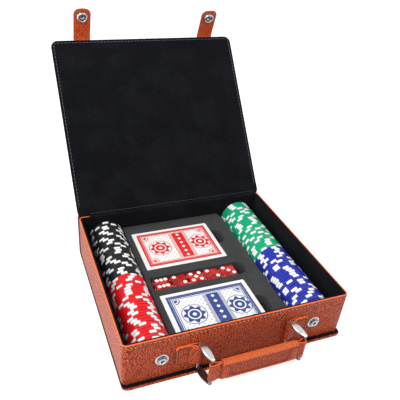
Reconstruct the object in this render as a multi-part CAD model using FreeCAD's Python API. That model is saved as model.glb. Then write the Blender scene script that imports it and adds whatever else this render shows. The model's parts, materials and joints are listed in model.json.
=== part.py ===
import FreeCAD
import Part
import math
import os

# A book-style poker set case in leatherette over board: a tray on a base panel, a spine,
# a lid that opens back, a carrying handle on two oval links, two snap straps, and in the
# tray a moulded insert that holds four rows of chips, two card cartons and five dice.
# Millimetres. +Z is up, +Y is the hinge side, the origin is the centre of the tray's
# footprint on the underside of the base panel.

V = FreeCAD.Vector

# Sheet materials
LEATHER = 0.8
BOARD = 1.8
LINING = 0.6

# Tray
TRAY_W = 226.0
TRAY_D = 196.0
TRAY_R = 4.6
RIM_Z = 52.0
WALL = LEATHER + BOARD + LINING
RIM_ROLL = 1.0

# Base panel and spine, one wrapped piece
BASE_HALF_W = 113.9
BASE_FRONT = -102.2
BASE_R = 4.0
BASE_T = 2.8
SPINE_BACK = TRAY_D / 2 + 3.1
SPINE_TOP = 52.4
SPINE_BEND_R = 2.2
TURN_IN = 1.2
LINING_INSET = 0.5

# Lid, drawn flat along the hinge and then turned to its open rest position
HINGE_Y = 99.3
HINGE_Z = 53.7
LID_OPEN_DEG = 50.2
LID_START = 1.9
LID_END = 204.2
LID_HALF_W = 113.6
LID_HALF_T = 1.5
LID_R = 8.0
FOLD_R = 1.3
FOLD_END_GAP = 0.6
LID_LINING_INSET = 0.4

# Snap straps and fasteners
SNAP_X = (-77.2, 78.4)
SNAP_Z = 24.6
STRAP_W = 19.4
STRAP_T = 1.6
STRAP_END = 38.5
STRAP_CLEAR = 1.1
ROOT_BEAD_R = 0.7
STRAP_TIP_R = 6.5
SOCKET_AT = 28.6
STRAP_PIVOT_U = 204.8
STRAP_PIVOT_N = 0.8
STRAP_FOLD_DEG = (58.0, 67.0)
STRAP_LEAN_DEG = (0.0, -3.0)
SNAP_SIDES = 18
EYELET_R = 1.8
FOLD_AXES = (V(1, 0, 0), V(0.995121, 0.072721, 0.066672))
ROOT_BEAD_L = 6.0

# Turned fasteners, as (radius, height) pairs
SOCKET_PROFILE = ((6.3, 0), (6.3, 0.7), (5.7, 1.5), (5.0, 1.9))
SOCKET_BORE = ((4.0, 0.3), (4.0, 1.9))
CAP_PROFILE = ((4.0, -STRAP_T - 2.0), (6.0, -STRAP_T - 1.2), (6.6, -STRAP_T))
STUD_PROFILE = ((6.5, 0), (6.5, 0.3), (6.0, 0.6), (4.6, 0.6), (4.6, 0.9), (2.8, 0.9), (2.8, 1.5), (3.2, 2.1),
                (3.2, 2.5), (2.7, 3.0))
STUD_BORE = ((1.7, 1.2), (1.7, 3.0))

# Carrying handle
HANDLE_X = 2.2
POST_HALF_SPAN = 45.8
POST_R = 1.3
POST_Y = -100.9
LINK_LENGTH = 20.4
LINK_LEAN_DEG = 11.3
LINK_HALF_W = 3.7
LINK_TIP_R = 1.9
LINK_PLATE_T = 2.2
LINK_BOTTOM_Z = 5.0
LINK_TOP_Z = 39.1
PLATE_BEVEL = 0.7
RUN_FIT = 0.1
OPEN_FIT = 0.35
BAND_T = 1.15
LOOP_CLOSES = 0.8
BAND_LAPS = (7.5, 5.2)
TAB_Z = (13.2, 36.5)
TAB_END = 67.0
TAB_REACH = 9.0
TAB_R = 3.0
STRAP_BAND_Z = (10.9, 31.5)
SLEEVE_X = (-30.8, 46.7)
SLEEVE_Z = (9.8, 32.6)
SLEEVE_T = 7.2
SLEEVE_ROUND = 0.8
# distance from an end, share of the thickness, share of the height
SLEEVE_ENDS = ((0, 0.66, 0.94), (1.2, 0.78, 0.97), (4.0, 0.88, 1.0), (12.0, 0.97, 1.0))

# Insert
INSERT_TOP = 30.6
INSERT_GAP = 0.3
TROUGH_X = (-83.0, 84.6)
TROUGH_R = 19.8
TROUGH_Z = 24.0
OUTER_LEDGE_Z = 19.0
BLOCK_RIGHT = 57.0
WELL_FLOOR = 13.2
WELL_GAP = 0.4
WELL_R = 1.2
NOTCH_W = 24.5
NOTCH_REACH = 10.2
NOTCH_R = 8.5
NOTCH_OFFSET = (4.0, -6.0)
SLOT_X = (-59.0, 47.0)
SLOT_Y = -9.0
SLOT_W = 19.6
SLOT_FLOOR = 11.9
SLOT_R = (1.5, 9.7, 9.7, 1.5)

# Contents
CHIP_R = 19.5
CHIP_T = 3.65
CHIP_PITCH = 3.75
CHIPS_PER_ROW = 25
CHIP_SIDES = 16
ROW_SPLIT_Y = 0.5
CARTON_L = 93.0
CARTON_W = 66.0
CARTON_H = 17.0
CARTON_WALL = 0.5
CARTON_SUNK = 0.2
CARD_PLAY = 1.2
CARD_R = 3.0
CARTON_X0 = -57.0
CARTON_Y0 = (13.3, -93.2)
CARDS_L = 88.6
CARDS_W = 63.4
CARDS_H = 15.2
TONGUE = 14.0
TONGUE_R = 5.0
TONGUE_GAP = 1.0
DIE = 18.0
DIE_COUNT = 5
DIE_PITCH = 18.7
DICE_X = -10.3
DIE_EDGE = 1.3
DIE_REST = 0.1


def box(x0, x1, y0, y1, z0, z1):
    """A box between two corners."""
    return Part.makeBox(x1 - x0, y1 - y0, z1 - z0, V(x0, y0, z0))


def rounded_slab(x0, x1, y0, y1, z0, z1, radii):
    """A slab whose plan corners are rounded; radii go front left, front right, back right, back left."""
    corners = [V(x0, y0, z0), V(x1, y0, z0), V(x1, y1, z0), V(x0, y1, z0)]
    edges = []
    points = []
    for i, corner in enumerate(corners):
        before = (corners[i - 1] - corner).normalize()
        after = (corners[(i + 1) % 4] - corner).normalize()
        r = radii[i]
        start = corner + before * r
        end = corner + after * r
        points.append((start, end))
        if r > 0:
            bulge = corner + (before + after) * (r * (1 - math.sqrt(0.5)))
            edges.append(Part.Arc(start, bulge, end).toShape())
    for i in range(4):
        a = points[i][1]
        b = points[(i + 1) % 4][0]
        edges.append(Part.LineSegment(a, b).toShape())
    wire = Part.Wire(Part.__sortEdges__(edges))
    return Part.Face(wire).extrude(V(0, 0, z1 - z0))


def plan_slab(half_w, half_d, r, z0, z1):
    """A centred slab with four equal plan corners."""
    return rounded_slab(-half_w, half_w, -half_d, half_d, z0, z1, (r, r, r, r))


def polygon(sides, radius, z):
    """A regular polygon wire about the Z axis with a flat side facing down -Y."""
    turn = math.pi / sides
    points = [V(radius * math.sin(turn + 2 * turn * k), -radius * math.cos(turn + 2 * turn * k), z)
              for k in range(sides)]
    return Part.makePolygon(points + [points[0]])


def turned(sides, profile):
    """A faceted turned piece: a stack of frustums through (radius, height) pairs."""
    body = None
    for (r0, z0), (r1, z1) in zip(profile[:-1], profile[1:]):
        if z1 == z0:
            continue
        part = Part.makeLoft([polygon(sides, r0, z0), polygon(sides, r1, z1)], True, True)
        body = part if body is None else body.fuse(part)
    return body.removeSplitter()


def save(name, shape):
    """Write one sub-part and report its solids and volume."""
    solids = shape.Solids
    print(name, len(solids), "solids", round(sum(s.Volume for s in solids)), "mm3", shape.isValid())
    result = solids[0] if len(solids) == 1 else Part.makeCompound(solids)
    result.exportStep("parts/" + name + ".step")


# Base panel, spine and hinge fold

def wrap_cover():
    """The leatherette of the base and the spine, turned up round both boards, as its two panels."""
    base = rounded_slab(-BASE_HALF_W, BASE_HALF_W, BASE_FRONT, SPINE_BACK, 0, BASE_T - LINING / 2,
                        (BASE_R, BASE_R, 0, 0))
    spine = box(-BASE_HALF_W, BASE_HALF_W, TRAY_D / 2 + LINING, SPINE_BACK, 0, SPINE_TOP)
    skin = base.fuse(spine).removeSplitter()
    low_back = [e for e in skin.Edges if abs(e.BoundBox.YMin - SPINE_BACK) < 0.01 and e.BoundBox.ZMax < 0.01]
    bend = [e for e in low_back if e.BoundBox.XLength > BASE_HALF_W]
    skin = skin.makeFillet(SPINE_BEND_R, bend)
    inner = BASE_HALF_W - LEATHER
    corner = BASE_R - LEATHER
    pocket_end = SPINE_BACK - LEATHER - TURN_IN
    base_pocket = rounded_slab(-inner, inner, BASE_FRONT + LEATHER, pocket_end, LEATHER, BASE_T,
                               (corner, corner, 0, 0))
    spine_pocket = box(-inner, inner, TRAY_D / 2, SPINE_BACK - LEATHER, BASE_T, SPINE_TOP - LEATHER)
    skin = skin.cut(base_pocket).cut(spine_pocket)
    below = box(-BASE_HALF_W, BASE_HALF_W, BASE_FRONT, SPINE_BACK, 0, BASE_T)
    return skin.common(below), skin.cut(below)


def base_board():
    """The stiff board inside the base panel."""
    inner = BASE_HALF_W - LEATHER
    return rounded_slab(-inner, inner, BASE_FRONT + LEATHER, TRAY_D / 2, LEATHER, BASE_T - LINING / 2,
                        (BASE_R - LEATHER, BASE_R - LEATHER, 0, 0))


def base_lining():
    """The black lining on the base panel, seen as a strip in front of the tray."""
    half = BASE_HALF_W - LINING_INSET
    corner = BASE_R - LINING_INSET
    return rounded_slab(-half, half, BASE_FRONT + LINING_INSET, TRAY_D / 2, BASE_T - LINING / 2, BASE_T,
                        (corner, corner, 0, 0))


def spine_board():
    """The board inside the spine."""
    inner = BASE_HALF_W - LEATHER
    return box(-inner, inner, TRAY_D / 2 + LINING, SPINE_BACK - LEATHER, BASE_T, SPINE_TOP - LEATHER)


def spine_lining():
    """The lining between the tray and the spine."""
    half = BASE_HALF_W - TURN_IN
    return box(-half, half, TRAY_D / 2, TRAY_D / 2 + LINING, BASE_T, SPINE_TOP)


def hinge_fold(outside):
    """Half of the flexible fold along the hinge: the cover outside, the lining inside."""
    inner_r = FOLD_R - (LEATHER if outside else LINING)
    axis = V(-LID_HALF_W + FOLD_END_GAP, HINGE_Y, HINGE_Z)
    length = 2 * (LID_HALF_W - FOLD_END_GAP)
    tube = Part.makeCylinder(FOLD_R, length, axis, V(1, 0, 0))
    tube = tube.cut(Part.makeCylinder(inner_r, length, axis, V(1, 0, 0)))
    y0 = HINGE_Y if outside else HINGE_Y - FOLD_R
    side = box(-LID_HALF_W, LID_HALF_W, y0, y0 + FOLD_R, HINGE_Z - FOLD_R, HINGE_Z + FOLD_R)
    return tube.common(side)


# Tray

def tray_cover():
    """The leatherette round the tray walls and over the rim, with its rolled top edge."""
    outer = plan_slab(TRAY_W / 2, TRAY_D / 2, TRAY_R, BASE_T, RIM_Z)
    top = [e for e in outer.Edges if e.BoundBox.ZMin > RIM_Z - 0.01]
    outer = outer.makeChamfer(RIM_ROLL, top)
    core = plan_slab(TRAY_W / 2 - LEATHER, TRAY_D / 2 - LEATHER, TRAY_R - LEATHER, BASE_T, RIM_Z - LEATHER)
    mouth = plan_slab(TRAY_W / 2 - WALL, TRAY_D / 2 - WALL, TRAY_R - WALL, BASE_T, RIM_Z)
    return outer.cut(core).cut(mouth)


def tray_board():
    """The board walls of the tray."""
    outer = plan_slab(TRAY_W / 2 - LEATHER, TRAY_D / 2 - LEATHER, TRAY_R - LEATHER, BASE_T, RIM_Z - LEATHER)
    inset = LEATHER + BOARD
    inner = plan_slab(TRAY_W / 2 - inset, TRAY_D / 2 - inset, TRAY_R - inset, BASE_T, RIM_Z)
    return outer.cut(inner)


def tray_lining():
    """The lining of the tray: its walls and floor."""
    inset = LEATHER + BOARD
    outer = plan_slab(TRAY_W / 2 - inset, TRAY_D / 2 - inset, TRAY_R - inset, BASE_T, RIM_Z - LEATHER)
    inner = plan_slab(TRAY_W / 2 - WALL, TRAY_D / 2 - WALL, TRAY_R - WALL, BASE_T + LINING, RIM_Z)
    return outer.cut(inner)


# Insert

def carton_box(row, grow, z0, z1):
    """The space of one card carton, grown sideways."""
    y0 = CARTON_Y0[row]
    return (CARTON_X0 - grow, CARTON_X0 + CARTON_L + grow, y0 - grow, y0 + CARTON_W + grow, z0, z1)


def trough(row):
    """The round-bottomed channel of a row of chips, open at the top."""
    x = TROUGH_X[row]
    half_d = TRAY_D / 2
    channel = Part.makeCylinder(TROUGH_R, 2 * half_d, V(x, -half_d, TROUGH_Z), V(0, 1, 0))
    return channel.fuse(box(x - TROUGH_R, x + TROUGH_R, -half_d, half_d, TROUGH_Z, INSERT_TOP + 1))


def insert():
    """The moulded insert: chip troughs, card wells with finger notches, and the dice slot."""
    half_w = TRAY_W / 2 - WALL - INSERT_GAP
    half_d = TRAY_D / 2 - WALL - INSERT_GAP
    corner = TRAY_R - WALL
    block = plan_slab(half_w, half_d, corner, BASE_T + LINING, INSERT_TOP)
    for row in range(2):
        block = block.cut(trough(row))
    edge_l = TROUGH_X[0] - TROUGH_R + 1
    edge_r = TROUGH_X[1] + TROUGH_R - 1
    block = block.cut(box(-half_w - 1, edge_l, -half_d - 1, half_d + 1, OUTER_LEDGE_Z, INSERT_TOP + 1))
    block = block.cut(box(edge_r, half_w + 1, -half_d - 1, half_d + 1, OUTER_LEDGE_Z, INSERT_TOP + 1))
    bevel_foot = TROUGH_X[1] - TROUGH_R
    bevel = [V(BLOCK_RIGHT, -TRAY_D / 2, INSERT_TOP), V(bevel_foot + 1, -TRAY_D / 2, INSERT_TOP),
             V(bevel_foot + 1, -TRAY_D / 2, TROUGH_Z), V(bevel_foot, -TRAY_D / 2, TROUGH_Z)]
    wedge = Part.Face(Part.makePolygon(bevel + [bevel[0]])).extrude(V(0, TRAY_D, 0))
    block = block.cut(wedge)
    for row in range(2):
        x0, x1, y0, y1, z0, z1 = carton_box(row, WELL_GAP, WELL_FLOOR, INSERT_TOP + 1)
        block = block.cut(rounded_slab(x0, x1, y0, y1, z0, z1, (WELL_R,) * 4))
        middle = (y0 + y1) / 2 + NOTCH_OFFSET[row]
        reach = x1 + NOTCH_REACH
        notch = rounded_slab(x1 - 2, reach, middle - NOTCH_W / 2, middle + NOTCH_W / 2, z0, z1,
                             (0, NOTCH_R, NOTCH_R, 0))
        block = block.cut(notch)
    half_slot = SLOT_W / 2
    slot = rounded_slab(SLOT_X[0], SLOT_X[1], SLOT_Y - half_slot, SLOT_Y + half_slot, SLOT_FLOOR,
                        INSERT_TOP + 1, SLOT_R)
    return block.cut(slot)


# Contents

def chip_row(row, first_y):
    """Twenty-five chips standing on edge in a trough, one faceted disc each."""
    chips = []
    for k in range(CHIPS_PER_ROW):
        disc = Part.Face(polygon(CHIP_SIDES, CHIP_R, 0)).extrude(V(0, 0, CHIP_T))
        disc.rotate(V(0, 0, 0), V(1, 0, 0), -90)
        y = first_y + k * CHIP_PITCH + (CHIP_PITCH - CHIP_T) / 2
        disc.translate(V(TROUGH_X[row], y, TROUGH_Z))
        chips.append(disc)
    return Part.makeCompound(chips)


def carton_sleeve(row):
    """A card carton of folded card, closed at its left end and open at its right end."""
    bottom = INSERT_TOP - CARTON_SUNK - CARTON_H
    x0, x1, y0, y1, z0, z1 = carton_box(row, 0, bottom, bottom + CARTON_H)
    w = CARTON_WALL
    return box(x0, x1, y0, y1, z0, z1).cut(box(x0 + w, x1 + w, y0 + w, y1 - w, z0 + w, z1 - w))


def carton_flap(row):
    """The end flap of a carton, with the tongue that tucks in under the top."""
    bottom = INSERT_TOP - CARTON_SUNK - CARTON_H
    x0, x1, y0, y1, z0, z1 = carton_box(row, 0, bottom, bottom + CARTON_H)
    w = CARTON_WALL
    end = box(x1 - w, x1, y0 + w, y1 - w, z0 + w, z1 - w)
    side = w + TONGUE_GAP
    tongue = rounded_slab(x1 - w - TONGUE, x1 - w, y0 + side, y1 - side, z1 - 2 * w, z1 - w,
                          (TONGUE_R, 0, 0, TONGUE_R))
    return end.fuse(tongue).removeSplitter()


def card_block(row):
    """The pack of cards inside a carton."""
    bottom = INSERT_TOP - CARTON_SUNK - CARTON_H + CARTON_WALL
    x0 = CARTON_X0 + CARTON_WALL + CARD_PLAY
    y0 = CARTON_Y0[row] + (CARTON_W - CARDS_W) / 2
    return rounded_slab(x0, x0 + CARDS_L, y0, y0 + CARDS_W, bottom, bottom + CARDS_H, (CARD_R,) * 4)


def die(k):
    """One die with eased edges, resting on the slot's floor."""
    x = DICE_X + (k - (DIE_COUNT - 1) / 2) * DIE_PITCH
    half = DIE / 2
    bottom = SLOT_FLOOR + DIE_REST
    cube = box(x - half, x + half, SLOT_Y - half, SLOT_Y + half, bottom, bottom + DIE)
    return cube.makeChamfer(DIE_EDGE, cube.Edges)


# Lid, in its own flat frame: X across, Y away from the hinge, Z towards the lining side

def open_lid(shape):
    """Turn a shape from the lid's flat frame to the open rest position."""
    turned_shape = shape.copy()
    turned_shape.rotate(V(0, 0, 0), V(1, 0, 0), LID_OPEN_DEG)
    turned_shape.translate(V(0, HINGE_Y, HINGE_Z))
    return turned_shape


def lid_slab(inset, z0, z1):
    """A slab of the lid's outline drawn in by an inset, square at the hinge."""
    r = LID_R - inset
    half = LID_HALF_W - inset
    return rounded_slab(-half, half, LID_START + inset, LID_END - inset, z0, z1, (0, 0, r, r))


def lid_cover():
    """The lid's leatherette, turned over the edges of the board."""
    top = LID_HALF_T - LINING / 2
    return lid_slab(0, -LID_HALF_T, top).cut(lid_slab(LEATHER, -LID_HALF_T + LEATHER, top))


def lid_board():
    """The lid's board."""
    return lid_slab(LEATHER, -LID_HALF_T + LEATHER, LID_HALF_T - LINING)


def lid_lining():
    """The lid's black lining, set in its leatherette rim and stitched close to the edge."""
    low = lid_slab(LEATHER, LID_HALF_T - LINING, LID_HALF_T - LINING / 2)
    top = lid_slab(LID_LINING_INSET, LID_HALF_T - LINING / 2, LID_HALF_T)
    return low.fuse(top).removeSplitter()


# Snap straps, in a frame of their own: X across, Y along the strap, Z towards the lining side

def place_strap(shape, side):
    """Lean and fold a strap from straight to its rest, then set it on the open lid."""
    placed = shape.copy()
    placed.rotate(V(0, 0, 0), V(0, 0, 1), -STRAP_LEAN_DEG[side])
    placed.rotate(V(0, 0, 0), V(1, 0, 0), STRAP_FOLD_DEG[side])
    placed.translate(V(SNAP_X[side], STRAP_PIVOT_U, STRAP_PIVOT_N))
    return open_lid(placed)


def strap_root(side):
    """The root of a strap, sewn into the lid's edge, with the short bead on which the strap folds."""
    half = STRAP_W / 2
    x = SNAP_X[side]
    low = STRAP_PIVOT_N - ROOT_BEAD_R
    high = STRAP_PIVOT_N + ROOT_BEAD_R
    web = open_lid(box(x - half, x + half, LID_END, STRAP_PIVOT_U, low, high))
    pivot = Part.Vertex(V(x, STRAP_PIVOT_U, STRAP_PIVOT_N))
    middle = open_lid(pivot).Point
    axis = FOLD_AXES[side]
    bead = Part.makeCylinder(ROOT_BEAD_R, ROOT_BEAD_L, middle - axis * (ROOT_BEAD_L / 2), axis)
    reach = ROOT_BEAD_L
    inside = open_lid(box(x - half, x + half, LID_END - reach, LID_END, low - reach, high + reach))
    return bead.cut(inside).fuse(web)


def snap_strap(side):
    """The strap with its rounded tip, holed for the eyelet, its root cut on half its lean."""
    half = STRAP_W / 2
    slant = math.tan(math.radians(STRAP_LEAN_DEG[side] / 2))
    root = STRAP_CLEAR + half * abs(slant)
    start = STRAP_END - 2 * STRAP_TIP_R
    tip = rounded_slab(-half, half, start, STRAP_END, -STRAP_T, 0, (0, 0, STRAP_TIP_R, STRAP_TIP_R))
    corners = [V(-half, root - half * slant, -STRAP_T), V(half, root + half * slant, -STRAP_T),
               V(half, start, -STRAP_T), V(-half, start, -STRAP_T)]
    shank = Part.Face(Part.makePolygon(corners + [corners[0]])).extrude(V(0, 0, STRAP_T))
    eyelet = turned(SNAP_SIDES, [(EYELET_R, -STRAP_T), (EYELET_R, 0)])
    eyelet.translate(V(0, SOCKET_AT, 0))
    return place_strap(shank.fuse(tip).removeSplitter().cut(eyelet), side)


def snap_socket(side):
    """The socket ring on the strap's inner face, which presses over the stud."""
    ring = turned(SNAP_SIDES, SOCKET_PROFILE).cut(turned(SNAP_SIDES, SOCKET_BORE))
    ring.translate(V(0, SOCKET_AT, 0))
    return place_strap(ring, side)


def snap_cap(side):
    """The domed cap on the strap's outer face, with its eyelet through the strap."""
    dome = turned(SNAP_SIDES, CAP_PROFILE)
    eyelet = turned(SNAP_SIDES, [(EYELET_R, -STRAP_T), (EYELET_R, 0)])
    cap = dome.fuse(eyelet).removeSplitter()
    cap.translate(V(0, SOCKET_AT, 0))
    return place_strap(cap, side)


def snap_stud(side):
    """The stud on the front wall: flange, step and hollow nub, turned to face -Y."""
    body = turned(SNAP_SIDES, STUD_PROFILE).cut(turned(SNAP_SIDES, STUD_BORE))
    body.rotate(V(0, 0, 0), V(1, 0, 0), 90)
    body.translate(V(SNAP_X[side], -TRAY_D / 2, SNAP_Z))
    return body


# Carrying handle

def loop_plan(x, y, end_x, end_y, bore):
    """Plan of a folded band: a loop round a post whose two layers close together at its end."""
    outer_r = bore + BAND_T
    outer = Part.makePolygon([V(x, y + outer_r, 0), V(end_x, end_y + BAND_T, 0), V(end_x, end_y - BAND_T, 0),
                              V(x, y - outer_r, 0), V(x, y + outer_r, 0)])
    close_x = x + (end_x - x) * LOOP_CLOSES
    close_y = y + (end_y - y) * LOOP_CLOSES
    upper = V(x, y + bore, 0)
    inner = Part.makePolygon([upper, V(close_x, close_y, 0), V(x, y - bore, 0), upper])
    ring = Part.Face(Part.Wire(Part.makeCircle(outer_r, V(x, y, 0))))
    hole = Part.Face(Part.Wire(Part.makeCircle(bore, V(x, y, 0))))
    return ring.fuse(Part.Face(outer)).cut(Part.Face(inner)).cut(hole)


def stand(plan, z0, z1):
    """Raise a plan between two heights."""
    raised = None
    for face in plan.Faces:
        moved = face.copy()
        moved.translate(V(0, 0, z0))
        solid = moved.extrude(V(0, 0, z1 - z0))
        raised = solid if raised is None else raised.fuse(solid)
    return raised.removeSplitter()


def handle_tab(sign):
    """A leatherette tab stitched to the front wall, looped round the rear post of a link."""
    post_x = HANDLE_X + sign * POST_HALF_SPAN
    end_x = post_x + sign * TAB_REACH
    wall_y = -TRAY_D / 2
    loop = stand(loop_plan(post_x, POST_Y, end_x, wall_y - BAND_T, POST_R + RUN_FIT), *TAB_Z)
    far_x = HANDLE_X + sign * TAB_END
    low, high = sorted((end_x, far_x))
    patch = box(low, high, wall_y - 2 * BAND_T, wall_y, *TAB_Z)
    corners = [e for e in patch.Edges if abs(e.CenterOfMass.x - far_x) < 0.01 and e.BoundBox.YLength > 1]
    patch = patch.makeFillet(TAB_R, corners)
    return patch.fuse(loop).removeSplitter()


def link_front(sign):
    """The centre of a link's front post in plan."""
    lean = math.radians(LINK_LEAN_DEG)
    x = HANDLE_X + sign * POST_HALF_SPAN
    return x + LINK_LENGTH * math.sin(lean), POST_Y - LINK_LENGTH * math.cos(lean)


def lens_outline(inset, z):
    """A lens drawn in by an inset: two long arcs that run tangent into the rounded tips."""
    half = LINK_LENGTH / 2
    rise = LINK_HALF_W - LINK_TIP_R
    depth = (half * half - rise * rise) / (2 * rise)
    reach = math.hypot(half, depth)
    tip = LINK_TIP_R - inset
    x = half + tip * half / reach
    y = tip * depth / reach
    side = LINK_HALF_W - inset
    arcs = [Part.Arc(V(x, y, z), V(0, side, z), V(-x, y, z)),
            Part.Arc(V(-x, y, z), V(-half - tip, 0, z), V(-x, -y, z)),
            Part.Arc(V(-x, -y, z), V(0, -side, z), V(x, -y, z)),
            Part.Arc(V(x, -y, z), V(half + tip, 0, z), V(x, y, z))]
    return Part.Wire([arc.toShape() for arc in arcs])


def link(sign):
    """An oval link: two bevelled lens plates joined by a rear and a front post."""
    half = LINK_LENGTH / 2
    straight = LINK_PLATE_T - PLATE_BEVEL
    lens = Part.Face(lens_outline(0, 0)).extrude(V(0, 0, straight))
    bevel = Part.makeLoft([lens_outline(0, straight), lens_outline(PLATE_BEVEL, LINK_PLATE_T)], True, True)
    lens = lens.fuse(bevel)
    upper = lens.copy()
    upper.translate(V(0, 0, LINK_TOP_Z - LINK_PLATE_T))
    lower = lens.copy()
    lower.rotate(V(0, 0, 0), V(1, 0, 0), 180)
    lower.translate(V(0, 0, LINK_BOTTOM_Z + LINK_PLATE_T))
    body = upper.fuse(lower)
    height = LINK_TOP_Z - LINK_BOTTOM_Z - 2 * LINK_PLATE_T
    for end in (-half, half):
        body = body.fuse(Part.makeCylinder(POST_R, height, V(end, 0, LINK_BOTTOM_Z + LINK_PLATE_T)))
    body = body.removeSplitter()
    front_x, front_y = link_front(sign)
    rear_x = HANDLE_X + sign * POST_HALF_SPAN
    body.rotate(V(0, 0, 0), V(0, 0, 1), LINK_LEAN_DEG - 90)
    body.translate(V((rear_x + front_x) / 2, (POST_Y + front_y) / 2, 0))
    return body


def grip_strap():
    """The band through the grip, folded round the front post of each link."""
    left_x, y = link_front(-1)
    right_x, _ = link_front(1)
    left_end = left_x + BAND_LAPS[0]
    right_end = right_x - BAND_LAPS[1]
    left = stand(loop_plan(left_x, y, left_end, y, POST_R + RUN_FIT), *STRAP_BAND_Z)
    right = stand(loop_plan(right_x, y, right_end, y, POST_R + OPEN_FIT), *STRAP_BAND_Z)
    band = box(left_end, right_end, y - BAND_T, y + BAND_T, *STRAP_BAND_Z)
    return band.fuse([left, right]).removeSplitter()


def sleeve_section(x, y, z, half_t, half_h):
    """A rounded upright section of the grip at one place along X."""
    r = half_t * SLEEVE_ROUND
    k = r * (1 - math.sqrt(0.5))
    edges = []
    corners = [(1, 1), (-1, 1), (-1, -1), (1, -1)]
    ends = []
    for sy, sz in corners:
        a = V(x, y + sy * half_t, z + sz * (half_h - r))
        b = V(x, y + sy * (half_t - r), z + sz * half_h)
        bulge = V(x, y + sy * (half_t - k), z + sz * (half_h - k))
        first, last = (a, b) if sy * sz > 0 else (b, a)
        edges.append(Part.Arc(first, bulge, last).toShape())
        ends.append((first, last))
    lines = [Part.LineSegment(ends[i][1], ends[(i + 1) % 4][0]).toShape() for i in range(4)]
    loop = [edge for pair in zip(edges, lines) for edge in pair]
    return Part.Wire(loop)


def grip_sleeve():
    """The padded grip: a crowned sleeve that draws in towards its rounded ends."""
    _, y = link_front(-1)
    x0, x1 = SLEEVE_X
    z = (SLEEVE_Z[0] + SLEEVE_Z[1]) / 2
    half_h = (SLEEVE_Z[1] - SLEEVE_Z[0]) / 2
    half_t = SLEEVE_T / 2
    sections = [sleeve_section(x0 + d, y, z, half_t * t, half_h * h) for d, t, h in SLEEVE_ENDS]
    sections.append(sleeve_section((x0 + x1) / 2, y, z, half_t, half_h))
    sections += [sleeve_section(x1 - d, y, z, half_t * t, half_h * h) for d, t, h in reversed(SLEEVE_ENDS)]
    body = Part.makeLoft(sections, True, True)
    half_gap = BAND_T + RUN_FIT
    low = STRAP_BAND_Z[0] - RUN_FIT
    high = STRAP_BAND_Z[1] + RUN_FIT
    passage = box(x0 - 1, x1 + 1, y - half_gap, y + half_gap, low, high)
    return body.cut(passage)


def build():
    """Build and write every sub-part."""
    os.makedirs("parts", exist_ok=True)
    base_cover, spine_cover = wrap_cover()
    save("base_cover", base_cover)
    save("spine_cover", spine_cover)
    save("base_board", base_board())
    save("base_lining", base_lining())
    save("spine_board", spine_board())
    save("spine_lining", spine_lining())
    save("hinge_fold_cover", hinge_fold(True))
    save("hinge_fold_lining", hinge_fold(False))
    save("tray_cover", tray_cover())
    save("tray_board", tray_board())
    save("tray_lining", tray_lining())
    save("insert", insert())
    row_length = CHIPS_PER_ROW * CHIP_PITCH
    save("chips_black", chip_row(0, ROW_SPLIT_Y))
    save("chips_red", chip_row(0, ROW_SPLIT_Y - row_length))
    save("chips_green", chip_row(1, ROW_SPLIT_Y))
    save("chips_blue", chip_row(1, ROW_SPLIT_Y - row_length))
    for row, colour in enumerate(("red", "blue")):
        save("carton_" + colour, carton_sleeve(row))
        save("carton_flap_" + colour, carton_flap(row))
        save("cards_" + colour, card_block(row))
    for k in range(DIE_COUNT):
        save("die_" + str(k + 1), die(k))
    save("lid_cover", open_lid(lid_cover()))
    save("lid_board", open_lid(lid_board()))
    save("lid_lining", open_lid(lid_lining()))
    for side, name in enumerate(("left", "right")):
        sign = 2 * side - 1
        save("strap_root_" + name, strap_root(side))
        save("snap_strap_" + name, snap_strap(side))
        save("snap_socket_" + name, snap_socket(side))
        save("snap_cap_" + name, snap_cap(side))
        save("snap_stud_" + name, snap_stud(side))
        save("handle_tab_" + name, handle_tab(sign))
        save("link_" + name, link(sign))
    save("grip_strap", grip_strap())
    save("grip_sleeve", grip_sleeve())


build()
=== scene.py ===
"""Dresses the poker set case: covers, linings, stitching, fittings, chips, cartons and dice."""
import json
import logging
import math
from dataclasses import dataclass, field
from enum import Enum
from typing import Optional, Sequence, Union

import bmesh
import bpy
import numpy as np
from mathutils import Matrix

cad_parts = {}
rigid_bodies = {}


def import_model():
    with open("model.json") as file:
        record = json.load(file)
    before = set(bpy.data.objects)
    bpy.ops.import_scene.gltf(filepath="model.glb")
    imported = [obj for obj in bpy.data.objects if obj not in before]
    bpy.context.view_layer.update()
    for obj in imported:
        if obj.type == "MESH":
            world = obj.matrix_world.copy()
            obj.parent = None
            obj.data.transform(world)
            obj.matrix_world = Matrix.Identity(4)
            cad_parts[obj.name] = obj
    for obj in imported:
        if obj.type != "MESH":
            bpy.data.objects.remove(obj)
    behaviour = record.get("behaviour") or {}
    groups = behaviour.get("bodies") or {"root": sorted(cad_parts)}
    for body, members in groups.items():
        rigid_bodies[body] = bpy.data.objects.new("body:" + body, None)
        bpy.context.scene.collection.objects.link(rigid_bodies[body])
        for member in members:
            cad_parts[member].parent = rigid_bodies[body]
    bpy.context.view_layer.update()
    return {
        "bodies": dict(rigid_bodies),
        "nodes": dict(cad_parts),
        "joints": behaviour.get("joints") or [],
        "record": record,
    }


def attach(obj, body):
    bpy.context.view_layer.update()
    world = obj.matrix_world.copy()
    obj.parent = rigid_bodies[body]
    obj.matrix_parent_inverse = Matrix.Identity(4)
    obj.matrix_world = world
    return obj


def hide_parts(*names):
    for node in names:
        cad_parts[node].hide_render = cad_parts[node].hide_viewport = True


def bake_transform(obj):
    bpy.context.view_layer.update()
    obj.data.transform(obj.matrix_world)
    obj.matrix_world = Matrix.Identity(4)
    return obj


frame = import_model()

LOG = logging.getLogger("case")
MM = 0.001
Array = np.ndarray
Pair = tuple[float, float]
Colour = tuple[float, float, float]


# Surfaces


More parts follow.
